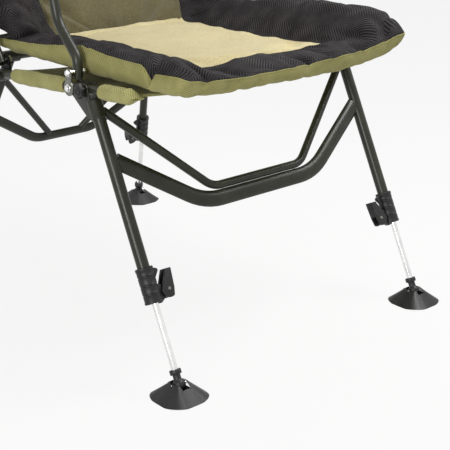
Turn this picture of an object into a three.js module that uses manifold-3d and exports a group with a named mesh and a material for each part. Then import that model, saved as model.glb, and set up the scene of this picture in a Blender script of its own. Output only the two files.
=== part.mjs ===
import * as THREE from 'three';
import { mergeVertices } from 'three/addons/utils/BufferGeometryUtils.js';
import Module from 'manifold-3d';

const wasm = await Module();
wasm.setup();

// Lengths are in millimetres and angles in degrees. +Z is up and the sitter faces -Y,
// so the sitter's right hand is on the -X side.

// Whole chair
const frameSpan = 548; // between the centres of the side rails, and of the front legs
const pivotHeight = 443.4; // front folding pivot above the ground
const pivotPlace = 8; // front folding pivot behind the middle of the seat
const seatTilt = 4.12; // the rails drop towards the back
const backRecline = 35; // the back leans this far from upright
const runningGap = 0.3; // between pieces that touch
const boltGap = 0.3; // round a bolt in its hole
const overrun = 5; // how far a cut runs past the piece it cuts

// Seat frame: two rails and the cross tube behind them, bent from one tube
const railRadius = 8;
const railWall = 1.5;
const railFront = 138; // rail ahead of the front pivot
const railRear = 388; // front pivot to the cross tube
const railCornerRadius = 60;

// Front leg frame
const frontRake = 25.66; // the front legs lean forward towards the ground
const frontLegOffset = 38.7; // leg axis ahead of the pivot
const frontLegRadius = 10;
const frontLegTop = 32; // leg top below the pivot, along the leg
const frontLockTop = 302.7;
const frontStretcherEnd = 127.6; // where the stretcher meets the leg
const frontStretcherLow = 230.4; // its level middle
const frontStretcherFlat = 246.6; // width of the level middle, corner to corner
const frontStretcherHeight = 27;
const frontStretcherDepth = 14;
const frontStretcherBend = 110;
const frontBraceEnd = 41.3; // where the brace's line meets the leg axis
const frontBraceFlat = 199.2;
const frontBraceRadius = 7;
const frontBraceBend = 40;

// Rear leg frame
const rearRake = 21.8; // the rear legs lean back towards the ground
const rearSplay = 10.52; // and outwards
const rearLegSpan = 323.6; // between the rear legs at the cross tube
const rearLegRadius = 8;
const rearLockTop = 217;
const rearStretcherEnd = 131.2;
const rearStretcherLow = 209.4;
const rearStretcherFlat = 139.2;
const rearStretcherHeight = 20;
const rearStretcherDepth = 12;
const rearStretcherBend = 60;
const rearBraceRadius = 6.5;
const rearBraceTop = 47; // where a brace meets the leg
const rearBraceFoot = 68; // between the feet of the two braces

// Telescopic legs
const legWall = 1.5;
const tubeInsert = 22; // outer tube inside its lock
const lockLength = 57;
const frontLockRadius = 14;
const rearLockRadius = 13;
const grooveCount = 3;
const grooveWidth = 2.4;
const grooveDepth = 0.9;
const frontInnerRadius = 5.25;
const rearInnerRadius = 4.75;
const innerWall = 1;
const frontInnerOffset = 3; // the inner leg runs off centre, towards the front
const rearInnerOffset = 1.5;
const innerOverlap = 90; // inner leg above the top of the lock
const slideGap = 0.4;

// Cam lever on a lock
const leverPinOut = 30; // pin from the leg axis
const leverPinDrop = 42; // pin below the top of the lock
const leverPinRadius = 2.2;
const leverWidth = 17;
const leverSlot = 9.4;
const leverTopOut = 43;
const leverTopRise = 31; // lever above its pin
const leverTopThick = 10;
const leverFootOut = 40;
const leverCamRadius = 14; // round foot of the lever, about its pin
const leverBack = 5; // thickness of the lever's back
const earWidth = 8.4;
const earRadius = 4.8;
const earInside = 3; // ear rooted this deep in the lock

// Tip and foot
const ballHeight = 20; // ball centre above the ground
const ballRadius = 10;
const ballGap = 0.8;
const collarRadius = 9.3;
const collarHeight = 7.5;
const collarRise = 24; // collar top above the ball centre
const collarSocket = 5;
const neckRadius = 6.2;
const footPinRadius = 2.2;
const footPinLength = 28;
const footRadius = 44;
const footTopRadius = 15;
const footTopHeight = 24;
const footRimHeight = 7;
const footRimWave = 2.4;
const footLift = 2.2; // how far the rim lifts off the ground between its lobes
const footShell = 3;
const footRestWidth = 4;
const footLobes = 6;
const footSlotWidth = 15;

// Front bracket: a fork over the rail with a socket for the leg
const cheekThick = 2.5;
const cheekGap = 0.6; // between a cheek and the rail
const pivotLobeRadius = 12;
const knobLobeRadius = 11;
const webRadius = 8;
const knobAhead = 35; // knob centre from the pivot, across the leg
const knobDrop = 13.8; // and along it
const socketRadius = 12.5;
const socketTop = 29.5;
const socketLength = 33.5;
const knobRadius = 12.5;
const knobLobes = 6;
const knobThick = 10;
const knobStemRadius = 6.5;
const knobStemLength = 2;

// Hinge plate that is fixed to the rail, and its bolts
const hingePlateRadius = 12.5;
const hingePlateThick = 3;
const lugRadius = 7;
const lugRise = 24; // armrest pivot above the rail axis
const lugAhead = 2.4;
const pivotBoltRadius = 4;
const boltHeadRadius = 6.5;
const boltHeadThick = 5;
const armBoltRadius = 3;
const armBoltHeadRadius = 5.5;
const armBoltHeadThick = 4.5;
const spacerRadius = 5.5;
const headBite = 2; // a shaft runs this far into its head and nut

// Rear bracket: a sleeve that turns on the cross tube, with a socket for the leg
const rearSleeveRadius = 11.5;
const rearSleeveLength = 34;
const rearSocketRadius = 10.5;
const rearSocketLength = 44;
const rearLegTop = 14;

// Recliner: a fork on the rail that the back frame turns in
const reclinerPlace = 229; // behind the front pivot, along the rail
const reclinerRise = 22; // back pivot above the rail axis
const reclinerRadius = 13.5;
const reclinerEarRadius = 9.5;
const reclinerEarThick = 5;
const backBoltRadius = 4;

// Back frame
const backRadius = 9;
const backWall = 1.5;
const backLength = 640; // pivot to the top bar
const backCornerRadius = 90;
const backTubeTail = 7; // tube below its pivot
const backLugPlace = 262; // armrest pivot up the back
const backLugAhead = 22;
const backLugRadius = 7;
const backLugThick = 2.5;

// Armrests, one bent tube each side, from the hinge plate up and back
const armInset = 5; // tube axis inside the rail axis
const armRadius = 8;
const armWall = 1.5;
const armTail = 10; // tube below its pivot
const armRise = 21.5; // straight up to the first bend
const armLeanBack = 50.7; // pivot to the second bend, backwards
const armLeanUp = 70.5;
const armTopBack = 80.7; // pivot to the top bend
const armTopUp = 184.5;
const armTubeEndShare = 0.82; // tube's end, as a share of the way from the top bend to the back
const armFirstBend = 26;
const armSecondBend = 60;
const armTopBend = 38;
const padLength = 200;
const padWidth = 34;
const padHeight = 27;
const padStart = 28; // pad behind the top bend
const rodRadius = 6;
const rodOverlap = 95; // rod inside the armrest tube
const eyeThick = 5;
const eyeSlotHeight = 10.4;
const eyeSlotLength = 13.4;
const eyeWall = 3;
const eyeReach = 10.5; // round rod stops this far ahead of the bolt

// Slings
const sleeveRadius = 12.5;
const sleeveGap = 0.5;
const sheetThick = 2.5;
const seatSleeveFront = 144;
const seatSleeveFrontEnd = 73;
const seatSleeveRearStart = 22;
const seatSleeveRearEnd = 180;
const seatSheetEnd = 236;
const seatSag = 13.7;
const slingNotch = 18; // sheet held back from the rail axis where there is no sleeve
const backSleeveStart = 62;
const backSleeveBreak = 240; // the sleeves stop on both sides of the armrest pivot
const backSleeveResume = 284;
const backSleeveBelowBar = 100;
const backSleeveEnd = backLength - backSleeveBelowBar;
const backSheetStart = 50;
const backSheetBelowBar = 80;
const backSheetEnd = backLength - backSheetBelowBar;
const backSag = 44;

// Seat cushion
const cushionSideGap = 22; // cushion's side inside the rail axis
const cushionHalfWidth = frameSpan / 2 - cushionSideGap;
const cushionFront = -236; // from the middle of the seat
const cushionRear = 254;
const cushionAbovePivot = 16.6;
const cushionUnder = pivotHeight + cushionAbovePivot; // underside at the sides
const cushionSag = 29;
const cushionSagReach = 270; // the sag grows over this length from the front edge
const cushionPad = 37; // thickness in the middle
const cushionWing = 57; // height of the side rolls
const cushionWingRearShare = 0.2; // height left at the rear end
const cushionRoll = 6; // front edge above the middle
const cushionRollReach = 88;
const cushionFrontRounding = 34;
const cushionRearRounding = 18;
const cushionRearFlat = 50; // side rolls stay low over this length
const cushionRearFade = 230;
const cushionWingReach = 14; // side rolls run on past the middle at the rear

// Back cushion, measured from the back pivot up the back and ahead of its tubes
const backCushionSideGap = 28;
const backCushionHalfWidth = frameSpan / 2 - backCushionSideGap;
const backCushionStart = 28;
const backCushionBelowBar = 12;
const backCushionEnd = backLength - backCushionBelowBar;
const backCushionUnder = 13.5;
const backCushionSag = backCushionUnder + backSag - sheetThick / 2 - runningGap; // lies on the sling
const backCushionSagReach = 120;
const backCushionPad = 27;
const backCushionWing = 32;
const backCushionWingLowShare = 0.5;
const backCushionRoll = 22; // head roll above the middle
const backCushionRollReach = 170;
const backCushionTopRounding = 44;
const backCushionLowRounding = 18;
const backCushionLowFlat = 14;
const backCushionLowFade = 130;
const backCushionWingReach = -18; // side rolls start higher than the middle
const wingReachFade = 80;

// Faces round each shape
const railFaces = 12;
const tubeFaces = 12;
const lockFaces = 12;
const clampFaces = 12;
const boltFaces = 10;
const capFaces = 5; // round one end of a plate
const ovalFaces = 5; // round each edge of a flattened tube
const bendSteps = 3;
const padFaces = 14;
const footFaces = 18;

const up = new THREE.Vector3(0, 0, 1);
const sides = [['right', -1], ['left', 1]];
const railPlace = frameSpan / 2;
const radians = THREE.MathUtils.degToRad;
const at = (x, y, z) => new THREE.Vector3(x, y, z);

const finishes = {
  frame: { color: 0x3c3e33, roughness: 0.45, metalness: 0.55 },
  steel: { color: 0xb9bcc0, roughness: 0.25, metalness: 1 },
  darkSteel: { color: 0x4a4d48, roughness: 0.4, metalness: 0.8 },
  plastic: { color: 0x1d1e20, roughness: 0.5, metalness: 0 },
  olive: { color: 0x7d7f4e, roughness: 0.9, metalness: 0 },
  fleece: { color: 0xa79f6c, roughness: 1, metalness: 0 },
  foam: { color: 0x232425, roughness: 0.85, metalness: 0 },
};

// A closed geometry as a solid that can be joined and cut
function solidOf(geometry) {
  const plain = geometry.clone();
  plain.deleteAttribute('normal');
  plain.deleteAttribute('uv');
  const merged = mergeVertices(plain);
  const vertProperties = new Float32Array(merged.attributes.position.array);
  const triVerts = new Uint32Array(merged.index.array);
  return new wasm.Manifold(new wasm.Mesh({ numProp: 3, vertProperties, triVerts }));
}

function geometryOf(solid) {
  const mesh = solid.getMesh();
  const geometry = new THREE.BufferGeometry();
  geometry.setAttribute('position', new THREE.BufferAttribute(new Float32Array(mesh.vertProperties), 3));
  geometry.setIndex(new THREE.BufferAttribute(new Uint32Array(mesh.triVerts), 1));
  const faceted = geometry.toNonIndexed();
  faceted.computeVertexNormals();
  return faceted;
}

function addPiece(group, name, solid, finish) {
  const mesh = new THREE.Mesh(geometryOf(solid), new THREE.MeshStandardMaterial(finishes[finish]));
  mesh.name = name;
  group.add(mesh);
  return mesh;
}

function addGroup(parent, place) {
  const group = new THREE.Group();
  group.position.copy(place);
  parent.add(group);
  return group;
}

// A round bar between two points
function bar(radius, from, to, faces) {
  const along = to.clone().sub(from);
  const geometry = new THREE.CylinderGeometry(radius, radius, along.length(), faces);
  geometry.rotateX(Math.PI / 2);
  const turn = new THREE.Quaternion().setFromUnitVectors(up, along.clone().normalize());
  geometry.applyQuaternion(turn);
  const middle = from.clone().add(to).multiplyScalar(0.5);
  geometry.translate(middle.x, middle.y, middle.z);
  return solidOf(geometry);
}

function pipe(radius, wall, from, to, faces) {
  const past = to.clone().sub(from).setLength(overrun);
  const bore = bar(radius - wall, from.clone().sub(past), to.clone().add(past), faces);
  return bar(radius, from, to, faces).subtract(bore);
}

// A bar across the chair, between two places measured outwards from a middle line
function crossBar(radius, x, y, z, inner, outer, faces = boltFaces) {
  return bar(radius, at(x + inner, y, z), at(x + outer, y, z), faces);
}

function block(x0, x1, y0, y1, z0, z1) {
  const geometry = new THREE.BoxGeometry(Math.abs(x1 - x0), Math.abs(y1 - y0), Math.abs(z1 - z0));
  geometry.translate((x0 + x1) / 2, (y0 + y1) / 2, (z0 + z1) / 2);
  return solidOf(geometry);
}

function ball(radius, place) {
  const geometry = new THREE.SphereGeometry(radius, railFaces, capFaces);
  geometry.translate(place.x, place.y, place.z);
  return solidOf(geometry);
}

// A flat plate across X whose outline is a capsule between two points of the YZ plane
function capsulePlate(x0, x1, y0, z0, y1, z1, radius) {
  const along = Math.atan2(z1 - z0, y1 - y0);
  const outline = new THREE.Shape();
  outline.absarc(y0, z0, radius, along + Math.PI / 2, along + Math.PI * 1.5, false);
  outline.absarc(y1, z1, radius, along - Math.PI / 2, along + Math.PI / 2, false);
  return plateAcross(outline, x0, x1);
}

// An outline drawn in the YZ plane, made as thick as the way from x0 to x1
function plateAcross(outline, x0, x1) {
  const geometry = new THREE.ExtrudeGeometry(outline, {
    depth: Math.abs(x1 - x0), bevelEnabled: false, curveSegments: capFaces / 2,
  });
  const turn = new THREE.Matrix4().makeBasis(at(0, 1, 0), at(0, 0, 1), at(1, 0, 0));
  geometry.applyMatrix4(turn);
  geometry.translate(Math.min(x0, x1), 0, 0);
  return solidOf(geometry);
}

// A route through corner points of one plane, each corner rounded to its own radius
class BentRoute extends THREE.Curve {
  constructor(corners, bends, planeNormal) {
    super();
    this.planeNormal = planeNormal;
    this.stations = [{ place: corners[0], along: corners[1].clone().sub(corners[0]).normalize() }];
    for (let i = 1; i < corners.length - 1; i += 1) {
      this.addBend(corners[i - 1], corners[i], corners[i + 1], bends[i - 1]);
    }
    const last = corners[corners.length - 1];
    this.stations.push({ place: last, along: last.clone().sub(corners[corners.length - 2]).normalize() });
  }

  addBend(before, corner, after, radius) {
    const incoming = corner.clone().sub(before).normalize();
    const outgoing = after.clone().sub(corner).normalize();
    const turn = incoming.angleTo(outgoing);
    const setback = radius * Math.tan(turn / 2);
    const start = corner.clone().addScaledVector(incoming, -setback);
    const inward = outgoing.clone().addScaledVector(incoming, -outgoing.dot(incoming)).normalize();
    const centre = start.clone().addScaledVector(inward, radius);
    for (let step = 0; step <= bendSteps; step += 1) {
      const angle = turn * step / bendSteps;
      const place = centre.clone()
        .addScaledVector(inward, -radius * Math.cos(angle))
        .addScaledVector(incoming, radius * Math.sin(angle));
      const along = incoming.clone().multiplyScalar(Math.cos(angle)).addScaledVector(inward, Math.sin(angle));
      this.stations.push({ place, along });
    }
  }

  station(share) {
    return this.stations[Math.round(share * (this.stations.length - 1))];
  }

  getPoint(share) {
    return this.station(share).place.clone();
  }

  getPointAt(share) {
    return this.getPoint(share);
  }

  computeFrenetFrames() {
    const tangents = this.stations.map(({ along }) => along.clone());
    const binormals = tangents.map(() => this.planeNormal.clone());
    const normals = tangents.map((along) => this.planeNormal.clone().cross(along).normalize());
    return { tangents, normals, binormals };
  }
}

function sweep(outline, route, faces) {
  const steps = route.stations.length - 1;
  return solidOf(new THREE.ExtrudeGeometry(outline, { steps, curveSegments: faces / 2, extrudePath: route }));
}

function ringOutline(radius, wall) {
  const outline = new THREE.Shape();
  outline.absarc(0, 0, radius, 0, Math.PI * 2, false);
  const bore = new THREE.Path();
  bore.absarc(0, 0, radius - wall, 0, Math.PI * 2, true);
  outline.holes.push(bore);
  return outline;
}

// A flattened tube: straight faces with round edges
function ovalOutline(height, depth, wall) {
  const grow = (shape, tall, deep, clockwise) => {
    const reach = (tall - deep) / 2;
    if (clockwise) {
      shape.absarc(-reach, 0, deep / 2, -Math.PI / 2, Math.PI / 2, true);
      shape.absarc(reach, 0, deep / 2, Math.PI / 2, -Math.PI / 2, true);
    } else {
      shape.absarc(reach, 0, deep / 2, -Math.PI / 2, Math.PI / 2, false);
      shape.absarc(-reach, 0, deep / 2, Math.PI / 2, Math.PI * 1.5, false);
    }
    return shape;
  };
  const outline = grow(new THREE.Shape(), height, depth, false);
  outline.holes.push(grow(new THREE.Path(), height - 2 * wall, depth - 2 * wall, true));
  return outline;
}

// A closed skin over rings of points. The first and the last ring are closed by rungs that
// join the two points whose numbers add up to rungSum.
function loft(rings, rungSum) {
  const count = rings[0].length;
  const faces = [];
  for (let ring = 0; ring < rings.length - 1; ring += 1) {
    for (let i = 0; i < count; i += 1) {
      const j = (i + 1) % count;
      const a = ring * count;
      const b = a + count;
      faces.push(a + i, a + j, b + j, a + i, b + j, b + i);
    }
  }
  const firstRung = (rungSum + 1) / 2;
  [0, rings.length - 1].forEach((ring) => {
    const point = (number) => ring * count + (number + count) % count;
    for (let i = 0; i < count / 2 - 1; i += 1) {
      const a = point(firstRung + i);
      const aNext = point(firstRung + i + 1);
      const b = point(rungSum - firstRung - i);
      const bNext = point(rungSum - firstRung - i - 1);
      const cap = [a, aNext, bNext, a, bNext, b];
      faces.push(...(ring === 0 ? cap.reverse() : cap));
    }
  });
  const points = rings.flat();
  const geometry = new THREE.BufferGeometry().setFromPoints(points);
  geometry.setIndex(signedVolume(points, faces) > 0 ? faces : faces.reverse());
  return solidOf(geometry);
}

function signedVolume(points, faces) {
  let total = 0;
  for (let i = 0; i < faces.length; i += 3) {
    const [a, b, c] = [points[faces[i]], points[faces[i + 1]], points[faces[i + 2]]];
    total += a.dot(b.clone().cross(c));
  }
  return total;
}

const smooth = THREE.MathUtils.smoothstep;
const mix = THREE.MathUtils.lerp;

// Seat frame, bent from one tube that is open at its front ends
function makeSeatFrame() {
  const corners = [
    at(-railPlace, -railFront, 0), at(-railPlace, railRear, 0),
    at(railPlace, railRear, 0), at(railPlace, -railFront, 0),
  ];
  const route = new BentRoute(corners, [railCornerRadius, railCornerRadius], up);
  let frame = sweep(ringOutline(railRadius, railWall), route, railFaces);
  sides.forEach(([, side]) => {
    const reach = railRadius + overrun;
    frame = frame.subtract(crossBar(pivotBoltRadius + boltGap, side * railPlace, 0, 0, -reach, reach));
  });
  return frame;
}

// Places measured outwards from the rail axis, on either side of the chair
const cheekInner = railRadius + cheekGap;
const cheekOuter = cheekInner + cheekThick;
const hingePlateInner = cheekOuter + runningGap;
const hingePlateOuter = hingePlateInner + hingePlateThick;

function makeHingePlate(side) {
  const x = side * railPlace;
  const faceIn = x + side * hingePlateInner;
  const faceOut = x + side * hingePlateOuter;
  const disc = capsulePlate(faceIn, faceOut, 0, 0, 0, 0, hingePlateRadius);
  const lug = capsulePlate(faceIn, faceOut, 0, 0, -lugAhead, lugRise, lugRadius);
  const reach = hingePlateOuter + overrun;
  return disc.add(lug)
    .subtract(crossBar(pivotBoltRadius + boltGap, x, 0, 0, 0, side * reach))
    .subtract(crossBar(armBoltRadius + boltGap, x, -lugAhead, lugRise, 0, side * reach));
}

// Head outside the hinge plate, shaft through the rail and nut inside the inner cheek
function makeHingeBolt(side) {
  const x = side * railPlace;
  const headStart = hingePlateOuter + runningGap;
  const nutStart = -(cheekOuter + runningGap);
  const from = side * (nutStart - headBite);
  const shaft = crossBar(pivotBoltRadius, x, 0, 0, from, side * (headStart + headBite));
  const head = crossBar(boltHeadRadius, x, 0, 0, side * headStart, side * (headStart + boltHeadThick));
  const nut = crossBar(boltHeadRadius, x, 0, 0, side * nutStart, side * (nutStart - boltHeadThick), 6);
  return shaft.add(head).add(nut);
}

function makeArmBolt(side) {
  const x = side * railPlace;
  const headStart = hingePlateOuter + runningGap;
  const spacerStart = armRadius - armInset + runningGap;
  const nutStart = -(armRadius + armInset + runningGap);
  const nutEnd = nutStart - armBoltHeadThick;
  const place = [x, -lugAhead, lugRise];
  return crossBar(armBoltRadius, ...place, side * (nutStart - headBite), side * (headStart + headBite))
    .add(crossBar(spacerRadius, ...place, side * spacerStart, side * (hingePlateInner - runningGap)))
    .add(crossBar(armBoltHeadRadius, ...place, side * headStart, side * (headStart + armBoltHeadThick)))
    .add(crossBar(armBoltHeadRadius, ...place, side * nutStart, side * nutEnd, 6));
}

// Fork that is clamped round the rail, with two ears for the end of the back tube
function makeRecliner(side) {
  const x = side * railPlace;
  const half = backRadius + cheekGap + reclinerEarThick;
  const y = reclinerPlace;
  const slotHalf = backRadius + cheekGap;
  const body = capsulePlate(x - half, x + half, y, 0, y, 0, reclinerRadius);
  const ears = capsulePlate(x - half, x + half, y, 0, y, reclinerRise, reclinerEarRadius);
  const slotTop = reclinerRise + reclinerEarRadius + overrun;
  const slotReach = reclinerRadius + overrun;
  const slot = block(x - slotHalf, x + slotHalf, y - slotReach, y + slotReach, 0, slotTop);
  const bore = bar(railRadius + runningGap, at(x, y - slotReach, 0), at(x, y + slotReach, 0), railFaces);
  const boltHole = crossBar(backBoltRadius + boltGap, x, y, reclinerRise, -half - overrun, half + overrun);
  return body.add(ears).subtract(slot).subtract(bore).subtract(boltHole);
}

function makeBackBolt(side) {
  const x = side * railPlace;
  const start = backRadius + cheekGap + reclinerEarThick + runningGap;
  const place = [x, reclinerPlace, reclinerRise];
  return crossBar(backBoltRadius, ...place, -start - headBite, start + headBite)
    .add(crossBar(boltHeadRadius, ...place, side * start, side * (start + armBoltHeadThick)))
    .add(crossBar(boltHeadRadius, ...place, -side * start, -side * (start + armBoltHeadThick), 6));
}

// Sleeves round the two side tubes and a sagging sheet between them
function makeSling({ tubeRadius, sleeves, sheetStart, sheetEnd, sag }) {
  const inner = railPlace - sleeveRadius + sheetThick;
  const stations = 4;
  const across = 11;
  const rings = [];
  for (let i = 0; i < stations; i += 1) {
    const y = mix(sheetStart, sheetEnd, i / (stations - 1));
    const top = [];
    const under = [];
    for (let j = 0; j < across; j += 1) {
      const share = mix(-1, 1, j / (across - 1));
      const drop = -sag * (1 - share * share);
      top.push(at(share * inner, y, drop + sheetThick / 2));
      under.unshift(at(share * inner, y, drop - sheetThick / 2));
    }
    rings.push([...top, ...under]);
  }
  let sling = loft(rings, 2 * across - 1);
  sides.forEach(([, side]) => {
    const x = side * railPlace;
    const notchEdge = x - side * slingNotch;
    let previous = sheetStart - overrun;
    sleeves.forEach(([start, end]) => {
      sling = sling.subtract(block(notchEdge, x, previous, start, -sleeveRadius, sleeveRadius));
      previous = end;
    });
    sling = sling.subtract(block(notchEdge, x, previous, sheetEnd + overrun, -sleeveRadius, sleeveRadius));
    sleeves.forEach(([start, end]) => {
      const wall = sleeveRadius - tubeRadius - sleeveGap;
      sling = sling.add(pipe(sleeveRadius, wall, at(x, start, 0), at(x, end, 0), railFaces));
    });
  });
  return sling;
}

// Half of a cushion's cross-section, from the middle of the top round to the middle of the
// underside: shares of the half width, and of the height of the side rolls
const cushionSectionShares = [
  [0, 0], [0.2, 0.01], [0.38, 0.025], [0.54, 0.06], [0.66, 0.22], [0.75, 0.56], [0.83, 0.87],
  [0.91, 1], [0.97, 0.9], [1, 0.62], [1, 0.06],
  [0.97, 0], [0.76, 0], [0.54, 0], [0.3, 0], [0, 0],
];
const cushionUndersideStart = 11; // rows of the table from here on belong to the underside

// Along a rounded end: share of the rounding, share of the thickness and share of the width
const cushionEndShares = [[0, 0.34, 0.92], [0.14, 0.66, 0.96], [0.4, 0.9, 0.985], [1, 1, 1]];
const cushionMiddleStations = 5;
const drawnInShare = 0.012;
const startSagShare = 0.25; // sag left at the free end of the cushion
const wingStartShare = 0.68; // the side rolls lie between these shares of the half width
const wingFullShare = 0.9;

// A cushion that lies along Y and bears up at its sides. Its joint end is where the seat
// and the back meet, and there the side rolls are lower.
function makeCushion(size) {
  const { free, joint } = size;
  const way = Math.sign(joint - free);
  const stations = cushionEndShares.map(([along, thick, wide]) => (
    [free + way * along * size.freeRounding, thick, wide]
  ));
  const firstMiddle = free + way * size.freeRounding;
  const lastMiddle = joint - way * size.jointRounding;
  for (let i = 1; i < cushionMiddleStations; i += 1) {
    const share = i / cushionMiddleStations;
    stations.push([mix(firstMiddle, lastMiddle, share), 1, 1 - drawnInShare * Math.sin(Math.PI * share)]);
  }
  [...cushionEndShares].reverse().forEach(([along, thick, wide]) => {
    stations.push([joint - way * along * size.jointRounding, thick, wide]);
  });
  const rings = stations.map(([y, thick, wide]) => cushionRing(size, y, thick, wide));
  return loft(rings, cushionSectionShares.length - 1);
}

function cushionRing(size, y, thick, wide) {
  const { halfWidth, free, joint } = size;
  const way = Math.sign(joint - free);
  const fromFree = way * (y - free);
  const toJoint = way * (joint - y);
  const nearFree = 1 - smooth(fromFree, 0, size.rollReach);
  const nearJoint = 1 - smooth(toJoint, size.jointFlat, size.jointFade);
  const wingHere = size.wing * mix(1, size.jointWingShare, nearJoint);
  const wingReach = size.wingReach * (1 - smooth(toJoint, 0, wingReachFade));
  const sagShare = mix(startSagShare, 1, smooth(fromFree, 0, size.sagReach));
  const middle = size.pad / 2;
  const half = cushionSectionShares.map(([xShare, riseShare], row) => {
    const dish = Math.max(1 - xShare * xShare, 0);
    const base = size.under - size.sag * dish * sagShare;
    const isTop = row < cushionUndersideStart;
    const pad = isTop ? (size.pad + size.roll * nearFree) * dish : 0;
    const full = wingHere * riseShare + pad;
    const along = y + way * wingReach * smooth(xShare, wingStartShare, wingFullShare);
    return at(xShare * halfWidth * wide, along, base + middle + (full - middle) * thick);
  });
  const mirrored = half.slice(1, -1).reverse().map((point) => at(-point.x, point.y, point.z));
  return [...half, ...mirrored];
}

// Front bracket: cheeks on both sides of the rail, joined to a socket for the leg
function makeFrontBracket(side) {
  const x = side * railPlace;
  const legY = -frontLegOffset;
  const socketMiddle = socketTop + socketLength / 2;
  let bracket = bar(
    socketRadius, at(x, legY, -socketTop), at(x, legY, -socketTop - socketLength), lockFaces,
  );
  [1, -1].forEach((face) => {
    const near = x + face * cheekInner;
    const far = x + face * cheekOuter;
    bracket = bracket
      .add(capsulePlate(near, far, 0, 0, 0, 0, pivotLobeRadius))
      .add(capsulePlate(near, far, 0, 0, -knobAhead, -knobDrop, webRadius))
      .add(capsulePlate(near, far, -knobAhead, -knobDrop, -knobAhead, -knobDrop, knobLobeRadius))
      .add(capsulePlate(near, far, -knobAhead, -knobDrop, legY, -socketMiddle, webRadius));
  });
  const boreTop = at(x, legY, overrun);
  const boreEnd = at(x, legY, -socketTop - socketLength - overrun);
  const reach = cheekOuter + overrun;
  return bracket
    .subtract(bar(frontLegRadius + runningGap, boreTop, boreEnd, tubeFaces))
    .subtract(crossBar(pivotBoltRadius + boltGap, x, 0, 0, -reach, reach))
    .subtract(crossBar(knobScrewRadius + boltGap, x, -knobAhead, -knobDrop, side * railRadius, side * reach));
}
const knobScrewRadius = 3;

// Lobed hand knob, whose screw presses on the rail through the outer cheek
function makeKnob(side) {
  const x = side * railPlace;
  const outline = new THREE.Shape();
  const points = 36;
  for (let i = 0; i < points; i += 1) {
    const angle = Math.PI * 2 * i / points;
    const lobe = Math.abs(Math.cos(angle * knobLobes / 2));
    const reach = knobRadius * mix(knobWaistShare, 1, lobe);
    const y = -knobAhead + reach * Math.cos(angle);
    const z = -knobDrop + reach * Math.sin(angle);
    if (i === 0) outline.moveTo(y, z);
    else outline.lineTo(y, z);
  }
  const stemStart = cheekOuter + runningGap;
  const knobStart = stemStart + knobStemLength;
  const screwEnd = railRadius + runningGap;
  const place = [x, -knobAhead, -knobDrop];
  return plateAcross(outline, x + side * knobStart, x + side * (knobStart + knobThick))
    .add(crossBar(knobStemRadius, ...place, side * stemStart, side * (knobStart + headBite)))
    .add(crossBar(knobScrewRadius, ...place, side * screwEnd, side * (knobStart + headBite)));
}
const knobWaistShare = 0.78;

function makeFrontStretcher() {
  const y = -frontLegOffset;
  const half = frontStretcherFlat / 2;
  const endPlace = railPlace - frontLegRadius / 2;
  const slope = (frontStretcherLow - frontStretcherEnd) / (railPlace - half);
  const endDrop = frontStretcherEnd + slope * (frontLegRadius / 2);
  const corners = [
    at(-endPlace, y, -endDrop), at(-half, y, -frontStretcherLow),
    at(half, y, -frontStretcherLow), at(endPlace, y, -endDrop),
  ];
  const route = new BentRoute(corners, [frontStretcherBend, frontStretcherBend], at(0, 1, 0));
  return sweep(ovalOutline(frontStretcherHeight, frontStretcherDepth, legWall), route, ovalFaces)
    .subtract(frontLegCut(frontLegRadius + runningGap, tubeFaces));
}

// The space of both front legs, to cut what meets them
function frontLegCut(radius, faces) {
  const cuts = sides.map(([, side]) => {
    const x = side * railPlace;
    return bar(radius, at(x, -frontLegOffset, 0), at(x, -frontLegOffset, -frontLockTop), faces);
  });
  return cuts[0].add(cuts[1]);
}

// The small brace lies on top of the stretcher and rises more steeply to the sockets
function makeFrontBrace() {
  const y = -frontLegOffset;
  const half = frontBraceFlat / 2;
  const low = frontStretcherLow - frontStretcherHeight / 2 - frontBraceRadius - runningGap;
  const slope = (low - frontBraceEnd) / (railPlace - half);
  const endPlace = railPlace - frontLegRadius / 2;
  const endDrop = frontBraceEnd + slope * (frontLegRadius / 2);
  const corners = [
    at(-endPlace, y, -endDrop), at(-half, y, -low), at(half, y, -low), at(endPlace, y, -endDrop),
  ];
  const route = new BentRoute(corners, [frontBraceBend, frontBraceBend], at(0, 1, 0));
  const inside = railPlace - cheekOuter - runningGap;
  const room = block(-inside, inside, y - socketRadius, y + socketRadius, 0, -frontLockTop);
  return sweep(ringOutline(frontBraceRadius, legWall), route, railFaces)
    .intersect(room)
    .subtract(frontLegCut(socketRadius + runningGap, lockFaces));
}

// Rear leg axis in the plane of the rear leg frame, at a distance down from the cross tube
const rearLegX = (drop) => rearLegSpan / 2 + drop * Math.tan(radians(rearSplay));

function makeRearStretcher() {
  const half = rearStretcherFlat / 2;
  const meet = rearLegX(rearStretcherEnd);
  const slope = (rearStretcherLow - rearStretcherEnd) / (meet - half);
  const endPlace = meet - rearLegRadius / 2;
  const endDrop = rearStretcherEnd + slope * (rearLegRadius / 2);
  const corners = [
    at(-endPlace, 0, -endDrop), at(-half, 0, -rearStretcherLow),
    at(half, 0, -rearStretcherLow), at(endPlace, 0, -endDrop),
  ];
  const route = new BentRoute(corners, [rearStretcherBend, rearStretcherBend], at(0, 1, 0));
  let stretcher = sweep(ovalOutline(rearStretcherHeight, rearStretcherDepth, legWall), route, ovalFaces);
  sides.forEach(([, side]) => {
    stretcher = stretcher.subtract(rearLegCut(side));
  });
  return stretcher;
}

function rearLegCut(side) {
  const reach = rearLockTop;
  const top = at(side * rearLegX(0), 0, 0);
  const end = at(side * rearLegX(reach), 0, -reach);
  return bar(rearLegRadius + runningGap, top, end, tubeFaces);
}

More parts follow.
